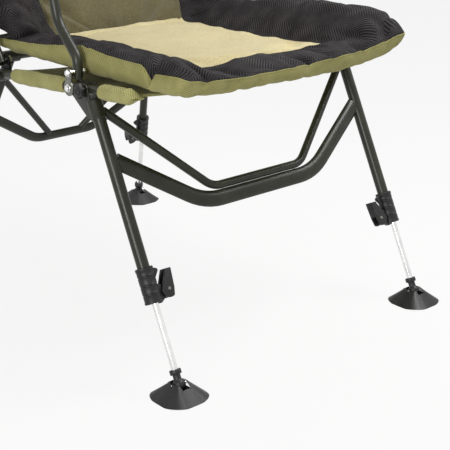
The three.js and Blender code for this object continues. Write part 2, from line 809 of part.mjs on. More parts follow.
// A straight brace from the middle of the stretcher up to a leg
function makeRearBrace(side) {
  const foot = at(side * rearBraceFoot / 2, 0, -rearStretcherLow);
  const head = at(side * rearLegX(rearBraceTop), 0, -rearBraceTop);
  const stretcherTop = -rearStretcherLow + rearStretcherHeight / 2 + runningGap;
  const reach = rearBraceRadius + overrun;
  return pipe(rearBraceRadius, legWall, foot, head, tubeFaces)
    .subtract(rearLegCut(side))
    .subtract(block(-railPlace, railPlace, -reach, reach,
      stretcherTop, stretcherTop - rearStretcherHeight * 2));
}

// Sleeve on the cross tube with a socket that points down the leg
function makeRearBracket(side) {
  const splay = radians(rearSplay);
  const place = side * rearLegX(0);
  const down = (distance) => at(place + side * distance * Math.sin(splay), 0, -distance * Math.cos(splay));
  const half = rearSleeveLength / 2;
  const sleeve = crossBar(rearSleeveRadius, place, 0, 0, -half, half, lockFaces);
  const socket = bar(rearSocketRadius, down(0), down(rearSocketLength), lockFaces);
  const boreEnd = down(rearSocketLength + overrun);
  const legBore = bar(rearLegRadius + runningGap, down(rearLegTop - runningGap), boreEnd, tubeFaces);
  const axleBore = crossBar(railRadius + boltGap, place, 0, 0, -half - overrun, half + overrun, railFaces);
  return sleeve.add(socket).subtract(axleBore).subtract(legBore);
}

// One telescopic leg. The group's -Z runs down the leg axis from its top end.
function addTelescopicLeg(group, label, side, size) {
  const inboard = -side;
  const lockEnd = size.lockTop + lockLength;
  const tubeEnd = size.lockTop + tubeInsert;
  const offset = -size.innerOffset;
  addPiece(group, `${label}_leg_tube`,
    pipe(size.tubeRadius, legWall, at(0, 0, -size.tubeTop), at(0, 0, -tubeEnd), tubeFaces), 'frame');
  addPiece(group, `${label}_lock`, makeLock(size, inboard, lockEnd, tubeEnd, offset), 'plastic');
  addPiece(group, `${label}_lock_lever`, makeLever(size, inboard), 'plastic');
  const rodTop = at(0, offset, -(size.lockTop - innerOverlap));
  const rodEnd = at(0, offset, -(size.reach - collarRise + collarSocket - runningGap));
  addPiece(group, `${label}_inner_leg`,
    pipe(size.innerRadius, innerWall, rodTop, rodEnd, railFaces), 'steel');
  addPiece(group, `${label}_leg_tip`, makeTip(size, offset), 'plastic');
}

function makeLock(size, inboard, lockEnd, tubeEnd, offset) {
  const axis = (drop, y = 0) => at(0, y, -drop);
  let lock = bar(size.lockRadius, axis(size.lockTop), axis(lockEnd), clampFaces);
  for (let i = 1; i <= grooveCount; i += 1) {
    const middle = size.lockTop + lockLength * i / (grooveCount + 1);
    const ring = pipe(size.lockRadius + overrun, grooveDepth + overrun,
      axis(middle - grooveWidth / 2), axis(middle + grooveWidth / 2), clampFaces);
    lock = lock.subtract(ring);
  }
  const pinX = inboard * leverPinOut;
  const pinZ = -(size.lockTop + leverPinDrop);
  const half = earWidth / 2;
  const root = inboard * (size.lockRadius - earInside);
  const ear = block(root, pinX, -half, half, pinZ - earRadius, pinZ + earRadius);
  const nose = bar(earRadius, at(pinX, -half, pinZ), at(pinX, half, pinZ), boltFaces);
  const hole = bar(leverPinRadius + boltGap,
    at(pinX, -leverWidth, pinZ), at(pinX, leverWidth, pinZ), boltFaces);
  const tubeBore = bar(size.tubeRadius + runningGap,
    axis(size.lockTop - overrun), axis(tubeEnd + runningGap), tubeFaces);
  const rodBore = bar(size.innerRadius + slideGap,
    axis(size.lockTop, offset), axis(lockEnd + overrun, offset), tubeFaces);
  return lock.add(ear).add(nose).subtract(tubeBore).subtract(rodBore).subtract(hole);
}

// Wedge-shaped lever whose cheeks straddle the ear of the lock
function makeLever(size, inboard) {
  const pinZ = -(size.lockTop + leverPinDrop);
  const top = pinZ + leverTopRise;
  const outline = new THREE.Shape();
  outline.moveTo(leverTopOut, top);
  outline.lineTo(leverTopOut - leverTopThick, top);
  outline.absarc(leverPinOut, pinZ, leverCamRadius, Math.PI, Math.PI * leverCamEndShare, false);
  outline.lineTo(leverFootOut, pinZ);
  outline.closePath();
  const whole = extrudeAlongY(outline, leverWidth, capFaces / 2);
  const slotOutline = new THREE.Shape();
  slotOutline.moveTo(leverTopOut - leverBack, top + overrun);
  slotOutline.lineTo(-overrun, top + overrun);
  slotOutline.lineTo(-overrun, pinZ - leverCamRadius - overrun);
  slotOutline.lineTo(leverFootOut - leverBack, pinZ - leverCamRadius - overrun);
  slotOutline.lineTo(leverFootOut - leverBack, pinZ);
  slotOutline.closePath();
  const reach = leverWidth / 2 - runningGap;
  const lever = whole.subtract(extrudeAlongY(slotOutline, leverSlot, capFaces))
    .add(bar(leverPinRadius, at(leverPinOut, -reach, pinZ), at(leverPinOut, reach, pinZ), boltFaces));
  return inboard > 0 ? lever : lever.mirror([1, 0, 0]);
}
const leverCamEndShare = 1.66;

// An outline drawn in the XZ plane, made as thick as asked across Y
function extrudeAlongY(outline, thick, curveSegments) {
  const geometry = new THREE.ExtrudeGeometry(outline, { depth: thick, bevelEnabled: false, curveSegments });
  geometry.translate(0, 0, -thick / 2);
  geometry.rotateX(Math.PI / 2);
  return solidOf(geometry);
}

// Collar, neck and ball at the end of the inner leg, with the foot's cross pin through the ball
function makeTip(size, offset) {
  const place = (rise) => at(0, offset, -size.reach + rise);
  const collar = bar(collarRadius, place(collarRise - collarHeight), place(collarRise), lockFaces);
  const neck = bar(neckRadius, place(0), place(collarRise - collarHeight), lockFaces);
  const socket = bar(size.innerRadius + runningGap,
    place(collarRise - collarSocket), place(collarRise + overrun), tubeFaces);
  const half = footPinLength / 2;
  const pin = crossBar(footPinRadius, 0, offset, -size.reach, -half, half);
  return collar.add(neck).subtract(socket).add(ball(ballRadius, place(0))).add(pin);
}

// Dished foot with a lobed rim. Its frame is level, with the ball centre at its origin.
// Profile rows: share of the radius, height above the ground, share of the lobed wave.
function makeFoot(pinAxis) {
  const hollowTop = ballHeight - ballRadius - footShell;
  const between = (share) => mix(footTopRadius, footRadius, share);
  const slope = (share) => mix(footTopHeight, footRimHeight, share);
  const profile = [
    [footTopRadius / 2, footTopHeight, 0, 0],
    [footTopRadius, footTopHeight, 0, 0],
    [between(footSlopeShares[0]), slope(footSlopeShares[1]), footSlopeShares[0], 0],
    [footRadius, footRimHeight, 1, 1],
    [footRadius, 0, 1, 1],
    [footRadius - footRestWidth, 0, 1, 1],
    [between(footSlopeShares[0]), slope(footSlopeShares[1]) - footShell * 1.5, footSlopeShares[0], 0],
    [footTopRadius, hollowTop, 0, 0],
    [footTopRadius / 2, hollowTop, 0, 0],
  ];
  const rings = profile.map(([radius, height, wave, lift]) => {
    const ring = [];
    for (let i = 0; i < footFaces; i += 1) {
      const angle = Math.PI * 2 * (i + 0.5) / footFaces;
      const lobe = Math.cos(angle * footLobes);
      const reach = radius + footRimWave * wave * lobe;
      const raised = footLift * lift * Math.max(0, -lobe);
      ring.push(at(reach * Math.cos(angle), reach * Math.sin(angle), height + raised - ballHeight));
    }
    return ring;
  });
  const slotHalf = footSlotWidth / 2;
  const slotDepth = footTopRadius + footRimWave;
  const slot = block(-slotHalf, slotHalf, -slotDepth, slotDepth, -ballRadius / 2, footTopHeight);
  const reach = pinAxis.clone().multiplyScalar(footTopRadius + overrun);
  const pinHole = bar(footPinRadius + boltGap, reach.clone().negate(), reach, boltFaces);
  return loft(rings, footFaces - 1).subtract(slot).subtract(ball(ballRadius + ballGap, at(0, 0, 0))).subtract(pinHole);
}
const footSlopeShares = [0.5, 0.56];

function addFoot(legGroup, label, size) {
  const pivot = addGroup(legGroup, at(0, -size.innerOffset, -size.reach));
  legGroup.updateWorldMatrix(true, false);
  const turned = legGroup.getWorldQuaternion(new THREE.Quaternion());
  const pinAxis = at(1, 0, 0).applyQuaternion(turned);
  pivot.quaternion.copy(turned.invert());
  addPiece(pivot, `${label}_foot`, makeFoot(pinAxis), 'plastic');
}

// Back frame: a long bent tube with a pair of small ears on each side for the armrest rod
function makeBackFrame() {
  const corners = [
    at(-railPlace, -backTubeTail, 0), at(-railPlace, backLength, 0),
    at(railPlace, backLength, 0), at(railPlace, -backTubeTail, 0),
  ];
  const route = new BentRoute(corners, [backCornerRadius, backCornerRadius], up);
  let frame = sweep(ringOutline(backRadius, backWall), route, railFaces);
  sides.forEach(([, side]) => {
    const x = side * railPlace;
    const armX = side * (railPlace - armInset);
    [1, -1].forEach((face) => {
      const near = armX + face * (eyeThick / 2 + cheekGap);
      const far = near + face * backLugThick;
      const ear = capsulePlate(near, far, backLugPlace, backWall + backRadius / 2, backLugPlace, backLugAhead, backLugRadius);
      const inside = bar(backRadius - backWall, at(x, 0, 0), at(x, backLength / 2, 0), railFaces);
      frame = frame.add(ear.subtract(inside));
    });
    const reach = backRadius + overrun;
    frame = frame
      .subtract(crossBar(backBoltRadius + boltGap, x, 0, 0, -reach, reach))
      .subtract(crossBar(armBoltRadius + boltGap, armX, backLugPlace, backLugAhead, -reach, reach));
  });
  return frame;
}

function makeRodBolt(side) {
  const x = side * (railPlace - armInset);
  const start = eyeThick / 2 + cheekGap + backLugThick + runningGap;
  const place = [x, backLugPlace, backLugAhead];
  return crossBar(armBoltRadius, ...place, -start - headBite, start + headBite)
    .add(crossBar(armBoltHeadRadius, ...place, side * start, side * (start + armBoltHeadThick)))
    .add(crossBar(armBoltHeadRadius, ...place, -side * start, -side * (start + armBoltHeadThick), 6));
}

// Armrest group: its origin is the front armrest pivot and it stands level
function makeArmTube(x, side, rearEye) {
  const bend = at(x, armTopBack, armTopUp);
  const end = bend.clone().lerp(rearEye, armTubeEndShare);
  const corners = [at(x, 0, -armTail), at(x, 0, armRise), at(x, armLeanBack, armLeanUp), bend, end];
  const route = new BentRoute(corners, [armFirstBend, armSecondBend, armTopBend], at(1, 0, 0));
  const reach = armRadius + overrun;
  return sweep(ringOutline(armRadius, armWall), route, railFaces)
    .subtract(crossBar(armBoltRadius + boltGap, x, 0, 0, -reach, reach));
}

function makeArmPad(x, rearEye) {
  const bend = at(x, armTopBack, armTopUp);
  const along = rearEye.clone().sub(bend).normalize();
  const rise = at(1, 0, 0).cross(along);
  const rings = padStationShares.map(([place, size]) => {
    const middle = bend.clone().addScaledVector(along, padStart + place * padLength);
    return Array.from({ length: padFaces }, (_, i) => {
      const angle = Math.PI * 2 * i / padFaces;
      const across = Math.sign(Math.cos(angle)) * Math.sqrt(Math.abs(Math.cos(angle))) * padWidth / 2 * size;
      const tall = Math.sign(Math.sin(angle)) * Math.sqrt(Math.abs(Math.sin(angle))) * padHeight / 2 * size;
      return middle.clone().addScaledVector(at(1, 0, 0), across).addScaledVector(rise, tall);
    });
  });
  const boreStart = bend.clone().addScaledVector(along, padStart - padLength / 4);
  const boreEnd = bend.clone().addScaledVector(along, padStart + padLength * 1.25);
  return loft(rings, padFaces - 1).subtract(bar(armRadius + runningGap, boreStart, boreEnd, railFaces));
}
const padStationShares = [[0, 0.78], [0.03, 0.92], [0.1, 1], [0.9, 1], [0.97, 0.92], [1, 0.78]];

// Rod that slides in the armrest tube and ends in a slotted eye on the back frame
function makeArmRod(x, rearEye) {
  const bend = at(x, armTopBack, armTopUp);
  const along = rearEye.clone().sub(bend).normalize();
  const tubeEnd = bend.clone().lerp(rearEye, armTubeEndShare);
  const start = tubeEnd.clone().addScaledVector(along, -rodOverlap);
  const neck = rearEye.clone().addScaledVector(along, -eyeReach);
  const half = eyeThick / 2;
  const past = half + overrun;
  const slotHalf = (eyeSlotLength - eyeSlotHeight) / 2;
  const slotFront = rearEye.clone().addScaledVector(along, -slotHalf);
  const slotRear = rearEye.clone().addScaledVector(along, slotHalf);
  const eyeRadius = eyeSlotHeight / 2 + eyeWall;
  const eye = capsulePlate(x - half, x + half, neck.y, neck.z, slotRear.y, slotRear.z, eyeRadius);
  const slot = capsulePlate(
    x - past, x + past, slotFront.y, slotFront.z, slotRear.y, slotRear.z, eyeSlotHeight / 2,
  );
  return bar(rodRadius, start, neck, railFaces).add(eye).subtract(slot);
}

const chair = new THREE.Group();
const pivot = at(0, pivotPlace, pivotHeight);

const seat = addGroup(chair, pivot);
seat.rotation.x = -radians(seatTilt);
seat.updateWorldMatrix(true, false);
addPiece(seat, 'seat_frame', makeSeatFrame(), 'frame');
addPiece(seat, 'seat_sling', makeSling({
  tubeRadius: railRadius,
  sleeves: [[-seatSleeveFront, -seatSleeveFrontEnd], [seatSleeveRearStart, seatSleeveRearEnd]],
  sheetStart: -seatSleeveFront,
  sheetEnd: seatSheetEnd,
  sag: seatSag,
}), 'olive');
sides.forEach(([name, side]) => {
  addPiece(seat, `hinge_plate_${name}`, makeHingePlate(side), 'darkSteel');
  addPiece(seat, `hinge_bolt_${name}`, makeHingeBolt(side), 'steel');
  addPiece(seat, `armrest_bolt_${name}`, makeArmBolt(side), 'steel');
  addPiece(seat, `recliner_fork_${name}`, makeRecliner(side), 'plastic');
  addPiece(seat, `recliner_bolt_${name}`, makeBackBolt(side), 'steel');
});

addPiece(chair, 'seat_cushion', makeCushion({
  halfWidth: cushionHalfWidth,
  free: cushionFront,
  joint: cushionRear,
  under: cushionUnder,
  sag: cushionSag,
  sagReach: cushionSagReach,
  pad: cushionPad,
  wing: cushionWing,
  jointWingShare: cushionWingRearShare,
  roll: cushionRoll,
  rollReach: cushionRollReach,
  freeRounding: cushionFrontRounding,
  jointRounding: cushionRearRounding,
  jointFlat: cushionRearFlat,
  jointFade: cushionRearFade,
  wingReach: cushionWingReach,
}), 'fleece');

const frontFrame = addGroup(chair, pivot);
frontFrame.rotation.x = -radians(frontRake);
addPiece(frontFrame, 'front_stretcher', makeFrontStretcher(), 'frame');
addPiece(frontFrame, 'front_brace', makeFrontBrace(), 'frame');
const frontDrop = pivotHeight + (frontLegOffset + frontInnerOffset) * Math.sin(radians(frontRake));
const frontLeg = {
  tubeRadius: frontLegRadius,
  tubeTop: frontLegTop,
  lockTop: frontLockTop,
  lockRadius: frontLockRadius,
  innerRadius: frontInnerRadius,
  innerOffset: frontInnerOffset,
  reach: (frontDrop - ballHeight) / Math.cos(radians(frontRake)),
};
sides.forEach(([name, side]) => {
  addPiece(frontFrame, `front_bracket_${name}`, makeFrontBracket(side), 'frame');
  addPiece(frontFrame, `lock_knob_${name}`, makeKnob(side), 'plastic');
  const legGroup = addGroup(frontFrame, at(side * railPlace, -frontLegOffset, 0));
  addTelescopicLeg(legGroup, `front_${name}`, side, frontLeg);
  addFoot(legGroup, `front_${name}`, frontLeg);
});

const crossPlace = at(0, railRear, 0).applyMatrix4(seat.matrixWorld);
const rearFrame = addGroup(chair, crossPlace);
rearFrame.rotation.x = radians(rearRake);
addPiece(rearFrame, 'rear_stretcher', makeRearStretcher(), 'frame');
const rearDrop = crossPlace.z - rearInnerOffset * Math.sin(radians(rearRake));
const rearLeg = {
  tubeRadius: rearLegRadius,
  tubeTop: rearLegTop,
  lockTop: rearLockTop,
  lockRadius: rearLockRadius,
  innerRadius: rearInnerRadius,
  innerOffset: rearInnerOffset,
  reach: (rearDrop - ballHeight) / (Math.cos(radians(rearRake)) * Math.cos(radians(rearSplay))),
};
sides.forEach(([name, side]) => {
  addPiece(rearFrame, `rear_brace_${name}`, makeRearBrace(side), 'frame');
  addPiece(rearFrame, `rear_bracket_${name}`, makeRearBracket(side), 'frame');
  const legGroup = addGroup(rearFrame, at(side * rearLegX(0), 0, 0));
  legGroup.rotation.y = -side * radians(rearSplay);
  addTelescopicLeg(legGroup, `rear_${name}`, side, rearLeg);
  addFoot(legGroup, `rear_${name}`, rearLeg);
});

const backPivot = at(0, reclinerPlace, reclinerRise).applyMatrix4(seat.matrixWorld);
const back = addGroup(chair, backPivot);
back.rotation.x = radians(90 - backRecline);
back.updateWorldMatrix(true, false);
addPiece(back, 'back_frame', makeBackFrame(), 'frame');
addPiece(back, 'back_sling', makeSling({
  tubeRadius: backRadius,
  sleeves: [[backSleeveStart, backSleeveBreak], [backSleeveResume, backSleeveEnd]],
  sheetStart: backSheetStart,
  sheetEnd: backSheetEnd,
  sag: backSag,
}), 'olive');
addPiece(back, 'back_cushion', makeCushion({
  halfWidth: backCushionHalfWidth,
  free: backCushionEnd,
  joint: backCushionStart,
  under: backCushionUnder,
  sag: backCushionSag,
  sagReach: backCushionSagReach,
  pad: backCushionPad,
  wing: backCushionWing,
  jointWingShare: backCushionWingLowShare,
  roll: backCushionRoll,
  rollReach: backCushionRollReach,
  freeRounding: backCushionTopRounding,
  jointRounding: backCushionLowRounding,
  jointFlat: backCushionLowFlat,
  jointFade: backCushionLowFade,
  wingReach: backCushionWingReach,
}), 'fleece');

const armPivot = at(0, -lugAhead, lugRise).applyMatrix4(seat.matrixWorld);
const arms = addGroup(chair, armPivot);
const rearEye = at(0, backLugPlace, backLugAhead).applyMatrix4(back.matrixWorld).sub(armPivot);
sides.forEach(([name, side]) => {
  addPiece(back, `rod_bolt_${name}`, makeRodBolt(side), 'steel');
  const x = side * (railPlace - armInset);
  const eye = at(x, rearEye.y, rearEye.z);
  addPiece(arms, `armrest_tube_${name}`, makeArmTube(x, side, eye), 'frame');
  addPiece(arms, `armrest_pad_${name}`, makeArmPad(x, eye), 'foam');
  addPiece(arms, `armrest_rod_${name}`, makeArmRod(x, eye), 'steel');
});

// The origin is the middle of the space that the chair stands in, on the ground
chair.updateMatrixWorld(true);
const extent = new THREE.Box3().setFromObject(chair, true);
const middle = extent.getCenter(at(0, 0, 0));
chair.position.set(-middle.x, -middle.y, -extent.min.z);

export default chair;
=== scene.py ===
import math
import random

import bpy
from mathutils import Matrix, Vector


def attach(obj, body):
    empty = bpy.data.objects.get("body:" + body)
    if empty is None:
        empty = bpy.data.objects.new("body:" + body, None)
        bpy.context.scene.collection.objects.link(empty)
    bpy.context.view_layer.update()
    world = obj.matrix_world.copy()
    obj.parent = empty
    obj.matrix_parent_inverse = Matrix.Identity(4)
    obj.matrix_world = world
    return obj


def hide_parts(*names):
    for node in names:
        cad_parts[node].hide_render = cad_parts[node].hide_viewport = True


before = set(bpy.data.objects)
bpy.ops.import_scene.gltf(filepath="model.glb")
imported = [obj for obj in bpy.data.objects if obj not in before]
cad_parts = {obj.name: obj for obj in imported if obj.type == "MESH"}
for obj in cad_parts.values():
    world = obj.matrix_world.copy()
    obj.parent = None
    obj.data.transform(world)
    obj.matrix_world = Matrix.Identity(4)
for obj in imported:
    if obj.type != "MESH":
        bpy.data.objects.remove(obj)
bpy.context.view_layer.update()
print("scene: frame loaded,", len(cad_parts), "nodes")

# Lengths of the pieces are in millimetres and are made metres when a piece is put in its place.
mm = 0.001
sides = (("right", -1), ("left", 1))  # the sitter's right is on the -X side


def placeOf(origin, xAxis=(1, 0, 0), yAxis=(0, 1, 0), zAxis=(0, 0, 1)):
    turn = Matrix((xAxis, yAxis, zAxis)).transposed().to_4x4()
    return Matrix.Translation(origin) @ turn @ Matrix.Scale(mm, 4)


seatPlace = placeOf((0, -0.15695, 0.4434), (1, 0, 0), (0, 0.99742, -0.07185), (0, 0.07185, 0.99742))
frontPlace = placeOf((0, -0.15695, 0.4434), (1, 0, 0), (0, 0.90138, -0.43303), (0, 0.43303, 0.90138))
rearPlace = placeOf((0, 0.23005, 0.41552), (1, 0, 0), (0, 0.92849, 0.37137), (0, -0.37137, 0.92849))
backPlace = placeOf((0, 0.07304, 0.44889), (1, 0, 0), (0, 0.57358, 0.81915), (0, -0.81915, 0.57358))
armPlace = placeOf((0, -0.15762, 0.46751))


def legPlace(end, side):
    if end == "front":
        return placeOf((side * 0.274, -0.19183, 0.46016), (1, 0, 0),
                       (0, 0.90138, -0.43303), (0, 0.43303, 0.90138))
    return placeOf((side * 0.1618, 0.23005, 0.41552), (0.98319, -0.0678 * side, 0.16952 * side),
                   (0, 0.92849, 0.37137), (-0.18258 * side, -0.36513, 0.91288))


# Turns of a piece that is drawn flat or along Z
acrossX = Matrix(((0, 0, 1, 0), (1, 0, 0, 0), (0, 1, 0, 0), (0, 0, 0, 1)))   # drawn in YZ, thick along X
acrossY = Matrix(((1, 0, 0, 0), (0, 0, -1, 0), (0, 1, 0, 0), (0, 0, 0, 1)))  # drawn in XZ, thick along Y
alongY = Matrix.Rotation(math.pi / 2, 4, "X")                                # drawn along Z, turned to Y


def linear(code):
    values = [int(code[i:i + 2], 16) / 255 for i in (1, 3, 5)]
    return tuple(v / 12.92 if v <= 0.04045 else ((v + 0.055) / 1.055) ** 2.4 for v in values) + (1.0,)


def addNode(tree, kind, inputs=None, output=0, **settings):
    # inputs maps a socket's name or number to its value or to the socket that feeds it
    node = tree.nodes.new("ShaderNode" + kind)
    stops = settings.pop("stops", ())
    for name, value in settings.items():
        setattr(node, name, value)
    for place, code in stops[2:]:
        node.color_ramp.elements.new(place)
    for element, (place, code) in zip(node.color_ramp.elements if stops else (), stops):
        element.position = place
        element.color = linear(code)
    for name, value in (inputs or {}).items():
        if isinstance(value, bpy.types.NodeSocket):
            tree.links.new(value, node.inputs[name])
        else:
            node.inputs[name].default_value = value
    return node.outputs[output]


def newMaterial(name, values):
    material = bpy.data.materials.new(name)
    material.use_nodes = True
    for key, value in values.items():
        material.node_tree.nodes["Principled BSDF"].inputs[key].default_value = value
    return material, material.node_tree


def finishMaterial(material, sockets):
    shader = material.node_tree.nodes["Principled BSDF"]
    for key, socket in sockets.items():
        material.node_tree.links.new(socket, shader.inputs[key])
    return material


# Hard materials by slot: a cloudy colour, and a fine grain for the roughness and the relief. Scales are
# 1000 over a size in millimetres.
hardMaterials = {
    # mild steel tube with an olive-grey powder coat: satin, with paler rubbed spots and an orange peel,
    # which is drawn coarse enough to show
    "frame_tube": {
        "name": "powderCoatedSteel", "values": {"IOR": 1.5, "Specular IOR Level": 0.28},
        "cloud": {"Scale": 1000 / 38, "Detail": 3}, "grain": {"Scale": 1000 / 1.6, "Detail": 1},
        "stops": ((0.3, "#272820"), (0.55, "#2f3026"), (0.8, "#3a3b30")),
        "rough": ("cloud", 0.24, 0.36), "relief": (0.5, 0.06)},
    # bright nickel-chrome plate on drawn tube and turned bolts: mirror-like with faint drawing lines
    "bright_steel": {
        "name": "brightChromePlate", "values": {"Metallic": 1.0},
        "cloud": {"Scale": 1000 / 16}, "stretch": (1, 1, 0.04), "grain": {"Scale": 1000 / 0.9, "Detail": 3},
        "stops": ((0.3, "#d9dad9"), (0.7, "#eeeeed")),
        "rough": ("grain", 0.08, 0.2), "relief": (0.3, 0.02)},
    # zinc-plated strip, tumbled: dull grey with soft scratches
    "hinge_steel": {
        "name": "dullZincPlate", "values": {"Metallic": 0.9},
        "cloud": {"Scale": 1000 / 7}, "stretch": (0.3, 1, 1),
        "grain": {"Scale": 1000 / 1.4, "Detail": 4, "Roughness": 0.7},
        "stops": ((0.3, "#6c6d66"), (0.7, "#85867e")),
        "rough": ("grain", 0.32, 0.55), "relief": (0.4, 0.05)},
    # glass-filled nylon, moulded with a fine spark-eroded texture: black, dry satin; the real grain is
    # about 0.1 mm, drawn coarser to show
    "black_plastic": {
        "name": "mouldedNylon", "values": {"IOR": 1.53, "Specular IOR Level": 0.36},
        "cloud": {"Scale": 1000 / 14}, "grain": {"Scale": 1000 / 0.9, "Detail": 3, "Roughness": 0.6},
        "stops": ((0.3, "#0f0f0f"), (0.6, "#161616"), (0.85, "#232222")),
        "rough": ("grain", 0.34, 0.56), "relief": (0.45, 0.08)},
    # closed-cell EVA foam grip: matt black, with tiny pores
    "armrest_foam": {
        "name": "evaFoam", "values": {"Roughness": 0.9, "IOR": 1.45, "Specular IOR Level": 0.3},
        "cloud": {"Scale": 1000 / 22}, "texture": "TexVoronoi", "grain": {"Scale": 1000 / 1.6},
        "stops": ((0.3, "#1b1b1c"), (0.7, "#272728")), "relief": (0.5, 0.25)},
}


def makeHard(s):
    material, tree = newMaterial(s["name"], s["values"])
    spot = addNode(tree, "TexCoord", output="Object")
    noises = {"cloud": addNode(tree, "TexNoise", {"Vector": spot, **s["cloud"]})}
    if "stretch" in s:
        spot = addNode(tree, "Mapping", {"Vector": spot, "Scale": s["stretch"]})
    noises["grain"] = addNode(tree, s.get("texture", "TexNoise"), {"Vector": spot, **s["grain"]})
    strength, depth = s["relief"]
    sockets = {"Base Color": addNode(tree, "ValToRGB", {"Fac": noises["cloud"]}, stops=s["stops"]),
               "Normal": addNode(tree, "Bump", {"Height": noises["grain"], "Strength": strength,
                                                "Distance": depth * mm})}
    if "rough" in s:
        by, low, high = s["rough"]
        sockets["Roughness"] = addNode(tree, "MapRange",
                                       {"Value": noises[by], "To Min": low, "To Max": high})
    return finishMaterial(material, sockets)


# Brushed polyester fleece: short soft pile, mottled where the pile lies over
def makeFleece(name, codes):
    material, tree = newMaterial(name, {"Roughness": 1.0, "IOR": 1.45, "Specular IOR Level": 0.15,
                                        "Sheen Weight": 0.25, "Sheen Roughness": 0.6})
    spot = addNode(tree, "TexCoord", output="Object")
    nap, tuft, fibre = (addNode(tree, "TexNoise", {"Vector": spot, "Scale": 1000 / size, "Detail": detail,
                                                   "Roughness": rough})
                        for size, detail, rough in ((60, 2, 0.5), (4.2, 4, 0.75), (1.3, 3, 0.7)))
    level = 0.0
    for noise, weight in ((nap, 0.2), (tuft, 0.55), (fibre, 0.3)):
        level = addNode(tree, "Math", {0: noise, 1: weight, 2: level}, operation="MULTIPLY_ADD")
    colour = addNode(tree, "ValToRGB", {"Fac": level}, stops=tuple(zip((0.36, 0.53, 0.7), codes)))
    height = addNode(tree, "Math", {0: fibre, 1: 0.5, 2: tuft}, operation="MULTIPLY_ADD")
    relief = addNode(tree, "Bump", {"Height": height, "Strength": 0.55, "Distance": 0.9 * mm})
    return finishMaterial(material, {"Base Color": colour, "Normal": relief})


# Woven polyester twill. The ribs run slantwise along the cloth's own length and width, and in the
# herringbone they turn back every few centimetres. They are drawn wider than the real 1.2 mm, to show.
def makeTwill(name, codes, ribMm, turnMm, sheen, rough):
    material, tree = newMaterial(name, {"Roughness": rough, "IOR": 1.5, "Specular IOR Level": 0.06,
                                        "Sheen Weight": sheen, "Sheen Roughness": 0.4})
    cloth = addNode(tree, "UVMap", uv_map="cloth")
    along, across = (addNode(tree, "SeparateXYZ", {"Vector": cloth}, output=axis) for axis in "XY")
    if turnMm:
        along = addNode(tree, "Math", {0: along, 1: turnMm * mm}, operation="PINGPONG")
    # a sine's crests lie closer than its period, because the ribs are slanted
    threads = []
    for operation, period in (("ADD", ribMm * 1.4), ("SUBTRACT", ribMm * 0.85)):
        slant = addNode(tree, "Math", {0: across, 1: along}, operation=operation)
        angle = addNode(tree, "Math", {0: slant, 1: math.tau / (period * mm)}, operation="MULTIPLY")
        threads.append(addNode(tree, "Math", {0: angle}, operation="SINE"))
    thread = addNode(tree, "Math", {0: threads[1], 1: 0.2, 2: threads[0]}, operation="MULTIPLY_ADD")
    spot = addNode(tree, "TexCoord", output="Object")
    cloud = addNode(tree, "TexNoise", {"Vector": spot, "Scale": 1000 / 30, "Detail": 3})
    yarn = addNode(tree, "TexNoise", {"Vector": spot, "Scale": 1000 / 1.5})
    level = 0.32
    for pattern, weight in ((cloud, 0.36), (thread, 0.16), (yarn, 0.18)):
        level = addNode(tree, "Math", {0: pattern, 1: weight, 2: level}, operation="MULTIPLY_ADD")
    colour = addNode(tree, "ValToRGB", {"Fac": level}, stops=tuple(zip((0.3, 0.58, 0.88), codes)))
    relief = addNode(tree, "Bump", {"Height": thread, "Strength": 0.6, "Distance": 0.3 * mm})
    return finishMaterial(material, {"Base Color": colour, "Normal": relief})


# the material of a slot's pieces, where a piece isn't given its own
finishes = {slot: makeHard(s) for slot, s in hardMaterials.items()}
finishes["sling_fabric"] = makeTwill("oliveSlingTwill", ("#7b7846", "#aaa66c", "#c8c38d"), 3.2, 0,
                                     0.1, 0.75)
seatFleece = makeFleece("khakiFleece", ("#b3a679", "#cfc191", "#dfd2a4"))
# the same khaki fleece as the seat's, painted darker: this is painted shade for the back cushion, which
# faces away from the light
backFleecePaintedShade = makeFleece("khakiFleeceShaded", ("#4f4931", "#5f583b", "#726b4a"))
blackTwill = makeTwill("blackHerringboneTwill", ("#121112", "#2a2829", "#545151"), 4.0, 30, 0.0, 0.7)
oliveTwill = makeTwill("oliveTwill", ("#74713f", "#a09b63", "#c1bc86"), 3.6, 0, 0.1, 0.8)
print("scene: materials made")


def deselect():
    if bpy.context.object and bpy.context.object.mode != "OBJECT":
        bpy.ops.object.mode_set(mode="OBJECT")
    bpy.ops.object.select_all(action="DESELECT")


def pick(piece):
    deselect()
    piece.select_set(True)
    bpy.context.view_layer.objects.active = piece
    return piece


def applyModifier(piece, kind, **settings):
    pick(piece)
    modifier = piece.modifiers.new(kind.title(), kind)
    for key, value in settings.items():
        setattr(modifier, key, value)
    bpy.ops.object.modifier_apply(modifier=modifier.name)
    return piece


def carve(piece, cutters):
    for cutter in cutters:
        applyModifier(piece, "BOOLEAN", operation="DIFFERENCE", object=cutter, solver="EXACT")
        bpy.data.objects.remove(cutter)
    return piece


def smoothBy(piece, degrees=35):
    pick(piece)
    bpy.ops.object.shade_smooth_by_angle(angle=math.radians(degrees))
    return piece


def settle(piece, name, body, slot, nodes=(), material=None):
    # the last step of a piece: its name, finish and body
    piece.name = name
    piece.data.name = name
    material = material or finishes.get(slot)
    if material:
        piece.data.materials.clear()
        piece.data.materials.append(material)
    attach(piece, body)
    if nodes:
        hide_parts(*nodes)
    return piece


def cleanMesh(piece, apart=0, outward=True):
    # joins the points that are no further apart than that, in metres, and turns the faces outward
    pick(piece)
    bpy.ops.object.mode_set(mode="EDIT")
    bpy.ops.mesh.select_all(action="SELECT")
    if apart:
        bpy.ops.mesh.remove_doubles(threshold=apart)
    if outward:
        bpy.ops.mesh.normals_make_consistent(inside=False)
    bpy.ops.object.mode_set(mode="OBJECT")


